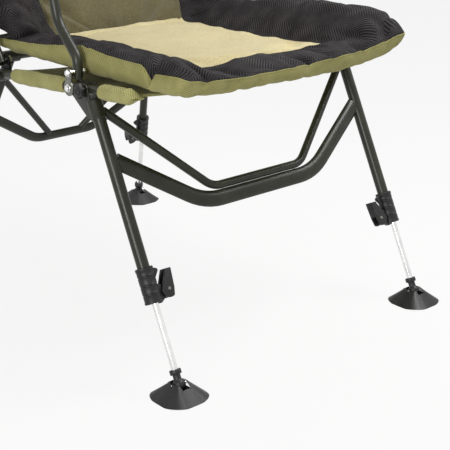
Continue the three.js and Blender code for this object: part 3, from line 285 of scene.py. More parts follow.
def newCurve(points, flat=False, closed=False):
    deselect()
    bpy.ops.curve.primitive_bezier_curve_add(location=(0, 0, 0))
    curve = bpy.context.object
    data = curve.data
    data.splines.clear()
    data.dimensions = "2D" if flat else "3D"
    for line in (points if isinstance(points[0][0], (tuple, list, Vector)) else [points]):
        spline = data.splines.new("POLY")
        spline.points.add(len(line) - 1)
        for knot, place in zip(spline.points, line):
            knot.co = (*place, 0, 1) if len(place) == 2 else (*place, 1)
        spline.use_cyclic_u = closed
    return curve


def toMesh(curve, place, turn=Matrix.Identity(4)):
    pick(curve)
    bpy.ops.object.convert(target="MESH")
    curve.data.transform(place @ turn)
    curve.data.update()
    return curve


def bentRoute(corners, bends, stepDegrees=6):
    corners = [Vector(c) for c in corners]
    route = [corners[0]]
    for before, corner, after, radius in zip(corners, corners[1:], corners[2:], bends):
        incoming, outgoing = (corner - before).normalized(), (after - corner).normalized()
        turn = incoming.angle(outgoing)
        start = corner - incoming * radius * math.tan(turn / 2)
        inward = (outgoing - incoming * outgoing.dot(incoming)).normalized()
        steps = max(2, math.ceil(math.degrees(turn) / stepDegrees))
        for i in range(steps + 1):
            angle = turn * i / steps
            route.append(start + inward * radius * (1 - math.cos(angle))
                         + incoming * radius * math.sin(angle))
    route.append(corners[-1])
    return route


def tube(corners, bends, radius, place, faces=14):
    curve = newCurve(bentRoute(corners, bends))
    curve.data.bevel_depth = radius
    curve.data.bevel_resolution = faces
    curve.data.use_fill_caps = True
    return smoothBy(toMesh(curve, place), 50)


def flatTube(corners, bends, tall, deep, place):
    # corners are in the XZ plane, and the tube is deep along Y
    ring = newCurve([(tall / 2 * math.cos(a), deep / 2 * math.sin(a))
                     for a in (math.tau * i / 40 for i in range(40))], flat=True, closed=True)
    route = bentRoute([(x, z, 0) for x, z in corners], bends)
    curve = newCurve([(p.x, p.y) for p in route], flat=True)
    curve.data.bevel_mode = "OBJECT"
    curve.data.bevel_object = ring
    curve.data.use_fill_caps = True
    piece = toMesh(curve, place, acrossY)
    bpy.data.objects.remove(ring)
    return smoothBy(piece, 50)


def turned(profile, place, turn=Matrix.Identity(4), steps=40):
    # a profile of (radius, height) pairs is spun about Z
    piece = newCurve([(r, 0, z) for r, z in profile])
    pick(piece)
    bpy.ops.object.convert(target="MESH")
    bpy.ops.object.mode_set(mode="EDIT")
    bpy.ops.mesh.select_all(action="SELECT")
    bpy.ops.mesh.spin(steps=steps, angle=math.tau, center=(0, 0, 0), axis=(0, 0, 1))
    cleanMesh(piece, 0.0005)  # still in millimetres here
    piece.data.transform(place @ turn)
    return smoothBy(piece, 40)


def arc(centre, radius, start, end, steps=12):
    return [(centre[0] + radius * math.cos(math.radians(start + (end - start) * i / steps)),
             centre[1] + radius * math.sin(math.radians(start + (end - start) * i / steps)))
            for i in range(steps + 1)]


def capsule(a, b, radius, steps=12):
    angle = math.degrees(math.atan2(b[1] - a[1], b[0] - a[0]))
    return arc(a, radius, angle + 90, angle + 270, steps) + arc(b, radius, angle - 90, angle + 90, steps)


def mirrored(half, middle=0.0):
    # a profile that is the same on both sides of its middle
    return [(r, middle - z) for r, z in half] + [(r, middle + z) for r, z in half[::-1]]


def box(size, place):
    deselect()
    bpy.ops.mesh.primitive_cube_add(size=1, scale=size)
    cube = bpy.context.object
    cube.data.transform(place)
    return cube


def plate(outlines, near, far, edge, place, turn=acrossX):
    # a flat shape with rounded edges, between two distances along its thickness
    curve = newCurve(outlines, flat=True, closed=True)
    thick = abs(far - near)
    curve.data.fill_mode = "BOTH"
    curve.data.extrude = thick / 2 - edge
    curve.data.bevel_depth = edge
    curve.data.bevel_resolution = 2
    curve.data.offset = -edge
    middle = Matrix.Translation((0, 0, (near + far) / 2))
    piece = toMesh(curve, place, turn @ middle)
    cleanMesh(piece, 0.000002)
    return smoothBy(piece, 40)


def join(piece, others):
    deselect()
    for other in others:
        other.select_set(True)
    piece.select_set(True)
    bpy.context.view_layer.objects.active = piece
    bpy.ops.object.join()
    return piece


def bar(radius, low, high, place, turn=Matrix.Identity(4), at=(0, 0), chamfer=0.4, steps=32, top=None):
    top = radius if top is None else top
    spot = Matrix.Translation((at[0], at[1], 0))
    return turned([(0, low), (radius - chamfer, low), (radius, low + chamfer), (top, high - chamfer),
                   (top - chamfer, high), (0, high)], place, turn @ spot, steps)


def mix(a, b, share):
    return a + (b - a) * share


def smooth(value, start, end):
    share = min(1.0, max(0.0, (value - start) / (end - start)))
    return share * share * (3 - 2 * share)


def bulge(reach, distance):
    # a quarter circle, from 0 at an edge to 1 at its reach
    return math.sqrt(max(0, 1 - (1 - min(1, distance / reach)) ** 2))


viewSettings = {
    "place": (-1.2817, -1.68965, 0.8784), "tip": 72.3, "turn": -41.56, "lens": 94.51,
    "shiftX": -0.0389, "shiftY": -0.1129,
    "floorColour": "#d6d6d4", "floorWhite": 0.88, "ambient": 0.17,
    # a soft box at the right, one at the left front, and a large one behind for the edges
    "lamps": [("softBoxRight", (0.85, -0.8, 1.8), 0.9, 31), ("softBoxLeft", (-2.2, -1.3, 0.95), 0.9, 31),
              ("softBoxTop", (0.4, 0.9, 2.8), 1.6, 12)],
}


def seenRays(tree):
    # 1 for the rays that show the background in the picture, in metal and in glass
    paths = [addNode(tree, "LightPath", output=name)
             for name in ("Is Camera Ray", "Is Glossy Ray", "Is Transmission Ray")]
    seen = addNode(tree, "Math", {0: paths[0], 1: paths[1]}, operation="MAXIMUM")
    return addNode(tree, "Math", {0: seen, 1: paths[2]}, operation="MAXIMUM")


def makeStage(s):
    turn = (math.radians(s["tip"]), 0, math.radians(s["turn"]))
    bpy.ops.object.camera_add(location=s["place"], rotation=turn)
    camera = bpy.context.object
    camera.name = "photoCamera"
    camera.data.lens = s["lens"]
    camera.data.sensor_width = 36
    camera.data.shift_x = s["shiftX"]
    camera.data.shift_y = s["shiftY"]
    bpy.context.scene.camera = camera
    bpy.context.scene.view_settings.view_transform = "Standard"
    deselect()
    bpy.ops.mesh.primitive_plane_add(size=16, location=(0, 0, -0.0004))
    floor = bpy.context.object
    floor.name = "floor"
    material, tree = newMaterial("paleFloor", {"Base Color": linear(s["floorColour"]), "Roughness": 0.9})
    white = addNode(tree, "Emission", {"Color": (1, 1, 1, 1), "Strength": 1.0})
    share = addNode(tree, "Math", {0: seenRays(tree), 1: s["floorWhite"]}, operation="MULTIPLY")
    mixed = addNode(tree, "MixShader",
                    {"Fac": share, 1: tree.nodes["Principled BSDF"].outputs["BSDF"], 2: white})
    tree.links.new(mixed, tree.nodes["Material Output"].inputs["Surface"])
    floor.data.materials.append(material)
    world = bpy.context.scene.world or bpy.data.worlds.new("studio")
    bpy.context.scene.world = world
    world.use_nodes = True
    tree = world.node_tree
    dome = tree.nodes["Background"]
    dome.inputs["Color"].default_value = (1, 1, 1, 1)
    level = addNode(tree, "Math", {0: seenRays(tree), 1: 1 - s["ambient"], 2: s["ambient"]},
                    operation="MULTIPLY_ADD")
    tree.links.new(level, dome.inputs["Strength"])
    for name, place, size, power in s["lamps"]:
        bpy.ops.object.light_add(type="AREA", location=place)
        lamp = bpy.context.object
        lamp.name = name
        lamp.data.size = size
        lamp.data.energy = power
        lamp.rotation_euler = (Vector((0, 0, 0.35)) - Vector(place)).to_track_quat("-Z", "Y").to_euler()


makeStage(viewSettings)
print("scene: camera, stage and light made")


tubes = {"span": 274, "railRadius": 8, "backRadius": 9, "armRadius": 8}


def makeFrames(s):
    span = s["span"]
    rail = tube([(-span, -138, 0), (-span, 388, 0), (span, 388, 0), (span, -138, 0)], [60, 60],
                s["railRadius"], seatPlace)
    settle(rail, "seatRail", "seat", "frame_tube", ["seat_frame"])

    back = tube([(-span, -7, 0), (-span, 640, 0), (span, 640, 0), (span, -7, 0)], [90, 90],
                s["backRadius"], backPlace)
    ears = []
    for name, side in sides:
        for face in (1, -1):
            x = side * 269 + face * 4.35
            ears.append(plate([capsule((262, 4), (262, 22), 7), arc((262, 22), 3.3, 0, 345, 14)],
                              x - 1.25, x + 1.25, 0.4, backPlace))
    join(back, ears)
    settle(back, "backTube", "back", "frame_tube", ["back_frame"])

    bow = flatTube([(-267, -132.4), (-123.3, -230.4), (123.3, -230.4), (267, -132.4)], [110, 110], 27, 14,
                   frontPlace @ Matrix.Translation((0, -38.7, 0)))
    settle(bow, "frontBow", "front_legs", "frame_tube", ["front_stretcher"])
    brace = tube([(-264, -38.7, -50.9), (-99.6, -38.7, -209.6), (99.6, -38.7, -209.6), (264, -38.7, -50.9)],
                 [40, 40], 7, frontPlace)
    settle(brace, "frontBraceTube", "front_legs", "frame_tube", ["front_brace"])

    bow = flatTube([(-182, -134), (-69.6, -209.4), (69.6, -209.4), (182, -134)], [60, 60], 20, 12,
                   rearPlace)
    # its ends are coped where the inner legs slide past them
    cope = [(0, -175), (6.6, -175), (6.6, -95), (0, -95)]
    carve(bow, [turned(cope, legPlace("rear", side)) for name, side in sides])
    settle(smoothBy(bow, 50), "rearBow", "rear_legs", "frame_tube", ["rear_stretcher"])
    for name, side in sides:
        brace = tube([(side * 38, 0, -204), (side * 168, 0, -50)], [], 6.5, rearPlace)
        settle(brace, "rearBraceTube_" + name, "rear_legs", "frame_tube", ["rear_brace_" + name])
        x = side * 269
        arm = tube([(x, 0, -10), (x, 0, 21.5), (x, 50.7, 70.5), (x, 80.7, 184.5), (x, 312.1, 204.3)],
                   [26, 60, 38], s["armRadius"], armPlace)
        settle(arm, "armrestTube_" + name, "armrest_" + name, "frame_tube", ["armrest_tube_" + name])


makeFrames(tubes)
print("scene: frames made")


hinges = {"span": 274, "pivotRadius": 12.5, "plateInner": 11.4, "plateOuter": 14.4, "lug": (-2.4, 24),
          "knob": (-35, -13.8), "socket": -38.7, "rearSpan": 161.8, "fork": (229, 22),
          "rod": (269, 262, 22)}
# Bolts: the shaft's radius, the faces it holds together, the head's radius and height, the nut's height
bolts = {"hinge": (4, -11.4, 14.4, 5.6, 5.3, 5), "armrest": (3, -13.3, 14.4, 4.7, 4.8, 4.5),
         "recliner": (4, -14.9, 14.7, 5.6, 5, 5), "rod": (3, -5.9, 5.8, 4.7, 4.5, 4.5)}


def outward(side, x, y, z):
    # where a thing drawn along Z lies when it points away from the chair's middle along X
    return Matrix(((0, 0, side, x), (1, 0, 0, y), (0, side, 0, z), (0, 0, 0, 1)))


def makeBolt(kind, name, side, at, place, body, extras=()):
    # a shaft from low to high, a washer and a domed hexagon head outside high, a nut inside low
    shaft, low, high, head, headTall, nutTall = bolts[kind]
    turn = outward(side, side * at[0], at[1], at[2])
    bolt = bar(shaft, low - nutTall - 0.6, high + 0.5, place, turn, steps=24)
    dome = [(head * math.cos(math.radians(a)) * 0.74,
             high + headTall * (0.68 + 0.32 * math.sin(math.radians(a)))) for a in range(0, 91, 15)]
    parts = [bar(head + 0.9, high, high + 0.8, place, turn, chamfer=0.3),
             turned([(0, high + 0.7), (head - 0.5, high + 0.7), (head, high + 1.1),
                     (head, high + headTall * 0.6), (head * 0.86, high + headTall * 0.72),
                     (0, high + headTall * 0.74)], place, turn, 6),
             turned(dome, place, turn),
             turned([(shaft, low - nutTall), (head * 0.9, low - nutTall), (head, low - nutTall + 0.6),
                     (head, low - 0.6), (head * 0.9, low), (shaft, low)], place, turn, 6)]
    settle(join(bolt, parts + list(extras)), f"{kind}Bolt_{name}", body, "bright_steel",
           [f"{kind}_bolt_{name}"])


def hull(circles, steps=32):
    points = sorted({(round(y + r * math.cos(a), 4), round(z + r * math.sin(a), 4))
                     for y, z, r in circles for a in (math.tau * i / steps for i in range(steps))})

    def half(line):
        chain = []
        for p in line:
            while len(chain) > 1 and ((chain[-1][0] - chain[-2][0]) * (p[1] - chain[-2][1])
                                      <= (chain[-1][1] - chain[-2][1]) * (p[0] - chain[-2][0])):
                chain.pop()
            chain.append(p)
        return chain[:-1]

    return half(points) + half(points[::-1])


def lobed(radius, dip, lobes, steps=72):
    return [((radius - dip * (0.5 - 0.5 * math.cos(lobes * a)) ** 0.7) * math.cos(a),
             (radius - dip * (0.5 - 0.5 * math.cos(lobes * a)) ** 0.7) * math.sin(a))
            for a in (math.tau * i / steps for i in range(steps))]


def makeHinges(s):
    lug, knob, fork = s["lug"], s["knob"], s["fork"]
    for name, side in sides:
        x, inner, outer = side * s["span"], side * s["plateInner"], side * s["plateOuter"]
        strip = plate([hull([(0, 0, s["pivotRadius"]), (0, 6, 9)])], x + inner, x + outer, 0.5, seatPlace)
        ear = plate([hull([(0, 0, 8), (*lug, 7)])], x + inner + side * 0.15, x + outer - side * 0.15, 0.5,
                    seatPlace)
        settle(join(strip, [ear]), "hingePlate_" + name, "seat", "hinge_steel", ["hinge_plate_" + name])
        makeBolt("hinge", name, side, (s["span"], 0, 0), seatPlace, "seat")
        spacer = turned([(3, 3.4), (5, 3.4), (5.5, 3.9), (5.5, 10.8), (5, 11.3), (3, 11.3)], seatPlace,
                        outward(side, x, *lug))
        makeBolt("armrest", name, side, (s["span"], *lug), seatPlace, "seat", [spacer])

        # cheeks of the leg bracket, with a raised boss round the pivot and round the knob's screw
        cheeks = []
        for near, far in ((8.7, 11.1), (-11.1, -8.7)):
            cheeks.append(plate([hull([(0, 0, 4.8), (*knob, 11), (-33, -53, 8.5)])], x + near, x + far, 0.5,
                                frontPlace))
            for spot, radius in (((0, 0), 12), (knob, 8)):
                cheeks.append(plate([arc(spot, radius, 0, 350, 35)], x + near - 0.12, x + far + 0.12, 0.4,
                                    frontPlace))
        sleeve = turned([(10.3, -63), (12, -63), (12.6, -62.3), (12.6, -60), (12.2, -59.4), (12.2, -36),
                         (11.4, -32), (9, -29.8), (0, -29.5)], frontPlace,
                        Matrix.Translation((x, s["socket"], 0)))
        turn = outward(side, x, *knob)
        screw = bar(3, -11.8, 11.8, frontPlace, turn, steps=20)
        settle(join(sleeve, cheeks + [screw]), "frontBracket_" + name, "front_legs", "frame_tube",
               ["front_bracket_" + name])

        grip = plate([lobed(12.5, 3.2, 6)], x + side * 14.4, x + side * 22.6, 1.5, frontPlace,
                     Matrix.Translation((0, *knob)) @ acrossX)
        hub = [bar(6.5, 11.4, 15, frontPlace, turn),
               turned([(0, 21.6), (5.6, 21.6), (6.6, 22.4), (6.6, 23), (5.9, 23.4), (4.6, 23.4),
                       (4.2, 22.8), (0, 22.7)], frontPlace, turn)]
        settle(join(grip, hub), "lockKnob_" + name, "knob_" + name, "black_plastic", ["lock_knob_" + name])

        # bracket of the rear leg: a sleeve round the rail and a socket along the leg
        sleeve = turned(mirrored([(8.3, 17), (10.9, 17), (11.5, 16.4)]) + [(8.3, -17)], rearPlace,
                        outward(1, side * s["rearSpan"], 0, 0))
        socket = turned([(8.2, -44), (10.1, -44), (10.6, -43.4), (10.6, -41.5), (10.3, -41), (10.3, -9),
                         (0, -9)], legPlace("rear", side))
        settle(join(sleeve, [socket]), "rearBracket_" + name, "rear_legs", "frame_tube",
               ["rear_bracket_" + name])

        # fork that carries the back: two ears, a block round the rail and a bolt
        block = plate([hull([(fork[0], 0, 13.5), (*fork, 9.5)])], x - 14.6, x + 14.6, 1.6, seatPlace)
        gap = box((19.4, 40, 40), seatPlace @ Matrix.Translation((x, fork[0], 20.2)))
        bore = turned([(0, 200), (8.3, 200), (8.3, 260), (0, 260)], seatPlace,
                      Matrix.Translation((x, 0, 0)) @ Matrix.Rotation(-math.pi / 2, 4, "X"))
        settle(smoothBy(carve(block, [gap, bore])), "reclinerFork_" + name, "seat", "black_plastic",
               ["recliner_fork_" + name])
        makeBolt("recliner", name, side, (s["span"], *fork), seatPlace, "seat")
        makeBolt("rod", name, side, s["rod"], backPlace, "back")


makeHinges(hinges)
print("scene: hinges made")


legs = {
    "front": {"tube": 10, "tubeTop": 32, "inner": 5.25, "offset": -3, "lock": 14, "lockTop": 302.7,
              "reach": 489.76},
    "rear": {"tube": 8, "tubeTop": 14, "inner": 4.75, "offset": -1.5, "lock": 13, "lockTop": 217,
             "reach": 432.66},
}
lock = {"length": 57, "groove": 0.9, "grooveWide": 2.4, "pinOut": 30, "pinDrop": 42, "ear": 8.4}
foot = {"top": 15, "topTall": 24, "rim": 44, "rimTall": 7, "lobe": 2.6, "ball": 20, "slot": 7.5,
        "leastFaces": 300}


def makeLock(end, name, side, leg, s, place):
    label = end + "_" + name
    inboard = -side
    radius, top = leg["lock"], -leg["lockTop"]
    low = top - s["length"]
    wide = s["grooveWide"] / 2
    profile = [(leg["tube"] + 0.3, top), (radius - 0.4, top), (radius + 0.3, top - 0.8),
               (radius + 0.3, top - 5), (radius - 0.3, top - 6)]
    for share in (0.25, 0.5, 0.75):
        profile += mirrored([(radius - 0.3, -wide - 1), (radius, -wide - 0.4),
                             (radius - s["groove"], 0.5 - wide)], top - s["length"] * share)
    profile += [(radius - 0.4, low + 4), (radius + 0.2, low + 3.4), (radius + 0.2, low + 0.9),
                (radius - 0.6, low), (leg["inner"] + 1, low), (leg["inner"] + 1, low + 3)]
    body = turned(profile, place, steps=48)
    pin = (inboard * s["pinOut"], top - s["pinDrop"])
    ear = plate([hull([(inboard * 11, pin[1] + 9, 4), (inboard * 11, pin[1] - 13, 5), (*pin, 4.8)])],
                -s["ear"] / 2, s["ear"] / 2, 0.6, place, acrossY)
    hook = plate([hull([(inboard * 12, top - 6, 3), (inboard * 12, top - 18, 3),
                        (inboard * 18.5, top - 9, 3.6)])], -3.4, 3.4, 0.6, place, acrossY)
    settle(join(body, [ear, hook]), "legLock_" + label, end + "_legs", "black_plastic", [label + "_lock"])

    # lever: two cheeks with a round cam, and a back with three finger ribs
    upper = pin[1] + 31
    cheek = ([(43, upper - 1), (42, upper), (33, upper)] + arc((s["pinOut"], pin[1]), 14, 180, 298.8, 14)
             + [(40, pin[1])])
    spine = [(43, upper), (37.6, upper), (35.1, pin[1] + 3.4), (40.2, pin[1] + 3.4)]
    cheek, spine = ([(inboard * u, v) for u, v in outline] for outline in (cheek, spine))
    lever = plate([cheek], 4.7, 8.5, 0.7, place, acrossY)
    parts = [plate([cheek], -8.5, -4.7, 0.7, place, acrossY), plate([spine], -6, 6, 0.4, place, acrossY)]
    for rise in (26, 22, 18):
        rib = arc((inboard * (39.7 + 3 * rise / 31), pin[1] + rise), 1, 0, 330, 11)
        parts.append(plate([rib], -7, 7, 0.3, place, acrossY))
    settle(join(lever, parts), "lockLever_" + label, label + "_lever", "black_plastic",
           [label + "_lock_lever"])
    rivet = turned(mirrored([(0, 9.3), (2.6, 9.2), (3, 8.7), (3, 8.2), (2.2, 8.2)]), place,
                   Matrix.Translation((pin[0], 0, pin[1])) @ alongY, 24)
    settle(rivet, "leverRivet_" + label, label + "_lever", "bright_steel", material=finishes["hinge_steel"])


def shapeFoot(s, place):
    # A dished plate with four blunt corners. A flare with a triangular pocket runs down to each corner.
    rings = []
    corners = 4

    def ring(share, radius, height, lift):
        # columns on one side of a corner: the pocket, its rim, the flare's edge, and the plain slope
        flare = 7 + 17 * share
        pocket = max(1.0, flare - 5.5)
        columns = [0, pocket * 0.5, pocket, pocket + 1.4, flare - 1.6, flare, flare + 1.2]
        columns += [mix(flare + 1.2, 45, t) for t in (0.25, 0.5, 0.75, 1.0)]
        full = smooth(share, 0.02, 0.16) * (1 - 0.55 * smooth(share, 0.75, 1))
        sunk = smooth(share, 0.22, 0.3) * (1 - smooth(share, 0.74, 0.82))
        levels = [1 - 0.95 * sunk] * 3 + [1.06, 1.0, 0.92, 0.05] + [0] * 4
        half = list(zip(columns, levels))
        turnOver = [(90 - c, v) for c, v in half[-2:0:-1]]
        points = []
        for corner in range(corners):
            for column, level in half + turnOver:
                angle = math.radians(45 + 90 * corner + column)
                lobe = math.cos(corners * math.radians(column))
                reach = radius + s["lobe"] * share * share * lobe
                rise = height + 2.6 * lift * full * level + 1.6 * max(0, lobe) * share ** 5
                points.append((reach * math.cos(angle), reach * math.sin(angle), rise - s["ball"]))
        rings.append(points)

    top, rim = s["top"], s["rim"]
    ring(0, 10.6, s["topTall"] - 1.5, 1)
    ring(0, top - 1.2, s["topTall"], 1)
    for share in (0.03, 0.1, 0.17, 0.22, 0.26, 0.3, 0.42, 0.55, 0.68, 0.74, 0.78, 0.82, 0.9, 0.97):
        ring(share, top + (rim - top) * share,
             s["topTall"] + (s["rimTall"] - s["topTall"]) * (share * 1.2 - 0.2 * share * share), 1)
    ring(1, rim, s["rimTall"] - 0.8, 1)
    ring(1, rim + 0.2, 3.4, 0)
    ring(1, rim - 0.3, 0, 0)
    ring(1, rim - 4, 0, 0)
    ring(0.9, rim - 5.5, 3, 0)
    ring(0.5, top + (rim - top) * 0.5, s["topTall"] * 0.5, 0)
    ring(0.1, top + 1, s["topTall"] * 0.62, 0)
    ring(0, 10.6, s["topTall"] * 0.6, 0)
    piece = newCurve(rings, closed=True)
    pick(piece)
    bpy.ops.object.convert(target="MESH")
    steps = len(rings[0])
    for first in range(len(rings)):
        pair = {first, (first + 1) % len(rings)}
        bpy.ops.object.mode_set(mode="OBJECT")
        for vertex in piece.data.vertices:
            vertex.select = vertex.index // steps in pair
        for edge in piece.data.edges:
            a, b = edge.vertices
            edge.select = a // steps == b // steps and a // steps in pair
        bpy.ops.object.mode_set(mode="EDIT")
        bpy.ops.mesh.select_mode(type="EDGE")
        bpy.ops.mesh.bridge_edge_loops()
    bpy.ops.mesh.select_mode(type="VERT")
    cleanMesh(piece)
    piece.data.transform(place)
    cup = turned([(0, -10.4)] + arc((0, 0), 10.4, -75, 75, 10) + [(0, 10.4)], place)
    slot = turned([(0, -19), (s["slot"], -19), (s["slot"], 19), (0, 19)], place,
                  Matrix.Translation((0, 0, -0.5)) @ alongY)
    above = box((s["slot"] * 2, 38, 20), place @ Matrix.Translation((0, 0, 9.5)))
    return carve(piece, [cup, slot, above])


def makeFoot(label, s, place):
    # the solver now and then loses most of the faces, and the foot is then made again
    piece = shapeFoot(s, place)
    for attempt in range(12):
        if len(piece.data.polygons) > s["leastFaces"]:
            break
        bpy.data.objects.remove(piece)
        piece = shapeFoot(s, place)
        print("scene: foot", label, "made again")
    settle(smoothBy(piece, 18), "foot_" + label, label + "_foot", "black_plastic", [label + "_foot"])


def makeLegs(sizes, lockSizes, footSizes):
    for end, leg in sizes.items():
        tube, inner, offset = leg["tube"], leg["inner"], leg["offset"]
        low, rise = -leg["lockTop"] - 22, -leg["reach"]
        for name, side in sides:
            place = legPlace(end, side)
            label = end + "_" + name
            piece = turned([(tube - 1.2, low), (tube, low + 0.3), (tube, -leg["tubeTop"]),
                            (0, -leg["tubeTop"])], place, steps=48)
            settle(piece, "legTube_" + label, end + "_legs", "frame_tube", [label + "_leg_tube"])
            makeLock(end, name, side, leg, lockSizes, place)
            piece = bar(inner, rise + 19, -leg["lockTop"] + 50, place, at=(0, offset), steps=48)
            settle(piece, "innerLeg_" + label, label + "_inner", "bright_steel", [label + "_inner_leg"])
            collar = [(6.2, 9), (6.2, 15.6), (7, 16.5), (8.9, 16.5), (9.3, 17), (9.3, 23.2), (8.7, 24),
                      (inner, 24), (inner, 21)]
            piece = turned(arc((0, rise), 10, -90, 50, 14) + [(r, rise + z) for r, z in collar], place,
                           Matrix.Translation((0, offset, 0)))
            settle(piece, "legTip_" + label, label + "_inner", "black_plastic", [label + "_leg_tip"])
            across = Matrix.Translation((0, offset, rise)) @ Matrix.Rotation(math.pi / 2, 4, "Y")
            pin = [(0, 15.6), (2.8, 15.4), (3.4, 14.6), (3.4, 14), (2.2, 13.8)]
            settle(turned(mirrored(pin), place, across, 24), "footPin_" + label, label + "_inner",
                   "bright_steel")
            makeFoot(label, footSizes, placeOf(place @ Vector((0, offset, rise))))


makeLegs(legs, lock, foot)
print("scene: legs made")


def meshPiece(name, place, points, faces, uvs=()):
    data = bpy.data.meshes.new(name)
    data.from_pydata([place @ Vector(p) for p in points], [], faces)
    layer = data.uv_layers.new(name="cloth")
    for loop in data.loops if uvs else ():
        layer.data[loop.index].uv = uvs[loop.vertex_index]
    piece = bpy.data.objects.new(name, data)
    bpy.context.scene.collection.objects.link(piece)
    data.update()
    return piece


def gridFaces(base, rows, columns, flip=False):
    # the quads between rows of points, from the point numbered base onwards
    corners = [base + i * (columns + 1) + j for i in range(rows) for j in range(columns)]
    faces = [(a, a + 1, a + columns + 2, a + columns + 1) for a in corners]
    return [face[::-1] for face in faces] if flip else faces


slings = {
    "seat": {"place": seatPlace, "sleeves": [(-142, -74), (22, 180)], "start": -144, "end": 236,
             "sag": 13.7, "step": 8, "body": "seat", "flat": (0.6, 0.38), "folded": (-142,),
             "fold": [(13, 0.1), (11.5, 0.16), (8, 0.45), (4, 0.8), (0, 1)], "hemRows": 3},
    "back": {"place": backPlace, "sleeves": [(62, 240), (284, 540)], "start": 66, "end": 560,
             "sag": 44, "step": 10, "body": "back", "flat": (0.6, 0.51), "folded": (), "fold": [],
             "hemRows": 3},
}


def makeSling(name, s):
    # the sheet sags between the two tubes, and at each it is turned round it and sewn to itself
    rng = random.Random(7)
    edge, middle, sleeve = 256, 274, 12  # the sheet's half width, the tube's axis, the sleeve's radius
    across, steps = 44, 26
    hemStep, hemDrop, hemFold = 0.3, 1.9, 0.9
    rows = round((s["end"] - s["start"]) / s["step"])
    points, uvs = [], []
    for i in range(rows + 1):
        y = mix(s["start"], s["end"], i / rows)
        hem = min(1, min(i, rows - i) / 1.5)
        for j in range(across + 1):
            u = mix(-1, 1, j / across)
            ripple = 0.7 * math.sin(y / 17 + 3 * u) * (1 - u ** 4) + 1.2 * abs(u) ** 6 * math.sin(y / 9)
            z = -s["sag"] * (1 - u * u) - 0.8 * (1 - abs(u)) + ripple * 0.35 - 0.8 * (1 - hem)
            points.append((u * edge, y, z))
            uvs.append((u * edge * mm, y * mm))
    width = across + 1
    faces = gridFaces(0, rows, across)
    # a hem turned under along both free edges
    for first, step in ((0, 1), (rows, -1)):
        base = len(points)
        for k in range(s["hemRows"] + 1):
            for j in range(width):
                x, y, z = points[(first + step * k) * width + j]
                points.append((x, y - step * hemStep, z - (hemDrop if k < s["hemRows"] else hemFold)))
                uvs.append((x * mm, y * mm))
        faces += gridFaces(base, s["hemRows"], across, step > 0)
    for side in (-1, 1):
        for low, high in s["sleeves"]:
            count = max(4, round((high - low) / 6))
            base = len(points)
            rings = [(mix(low, high, i / count), min(1, min(i, count - i) / 2.5), 1)
                     for i in range(count + 1)]
            if low in s["folded"]:
                # the end is pressed flat and turned under
                rings = [(low - reach, 1, flat) for reach, flat in s["fold"]] + rings[1:]
            for y, end, flat in rings:
                for k in range(steps + 1):
                    angle = math.tau * k / steps
                    # the seam lies at the inner side, where the two layers are drawn to a point
                    pull = max(0, math.cos(angle)) ** 7
                    soft = (0.35 * math.sin(y / 11 + 2 * angle) + 0.25 * math.sin(y / 5.3 - angle)
                            + rng.uniform(-0.12, 0.12))
                    r = sleeve + soft - 1.6 * (1 - end) + 5.2 * pull
                    inward = r * math.cos(angle) + (1 - flat) * 3.5 * (1 - math.cos(angle))
                    points.append((side * (middle - inward), y - (1 - flat) * 2.5 * math.cos(angle),
                                   r * math.sin(angle) * (1 - 0.5 * pull) * flat - 4 * (1 - flat)))
                    uvs.append((sleeve * angle * mm, y * mm))
            faces += gridFaces(base, len(rings) - 1, steps, side > 0)
    piece = meshPiece(name + "Sling", s["place"], points, faces, uvs)
    cleanMesh(piece, 0.00001, outward=False)
    applyModifier(piece, "SOLIDIFY", thickness=1.5 * mm, offset=0.0)
    smoothBy(piece, 60)
    settle(piece, name + "Sling", s["body"], "sling_fabric", [name + "_sling"])


armrest = {"x": 269, "bend": (80.7, 184.5), "eye": (362.9, 208.6), "padStart": 28, "padLength": 200,
           "padWidth": 34, "padHeight": 27, "bore": 8.3, "rod": 6, "rodStart": 137.3, "rodStop": 10.5,
           "eyeThick": 5, "slotTall": 10.4, "slotLong": 13.4, "eyeWall": 3}


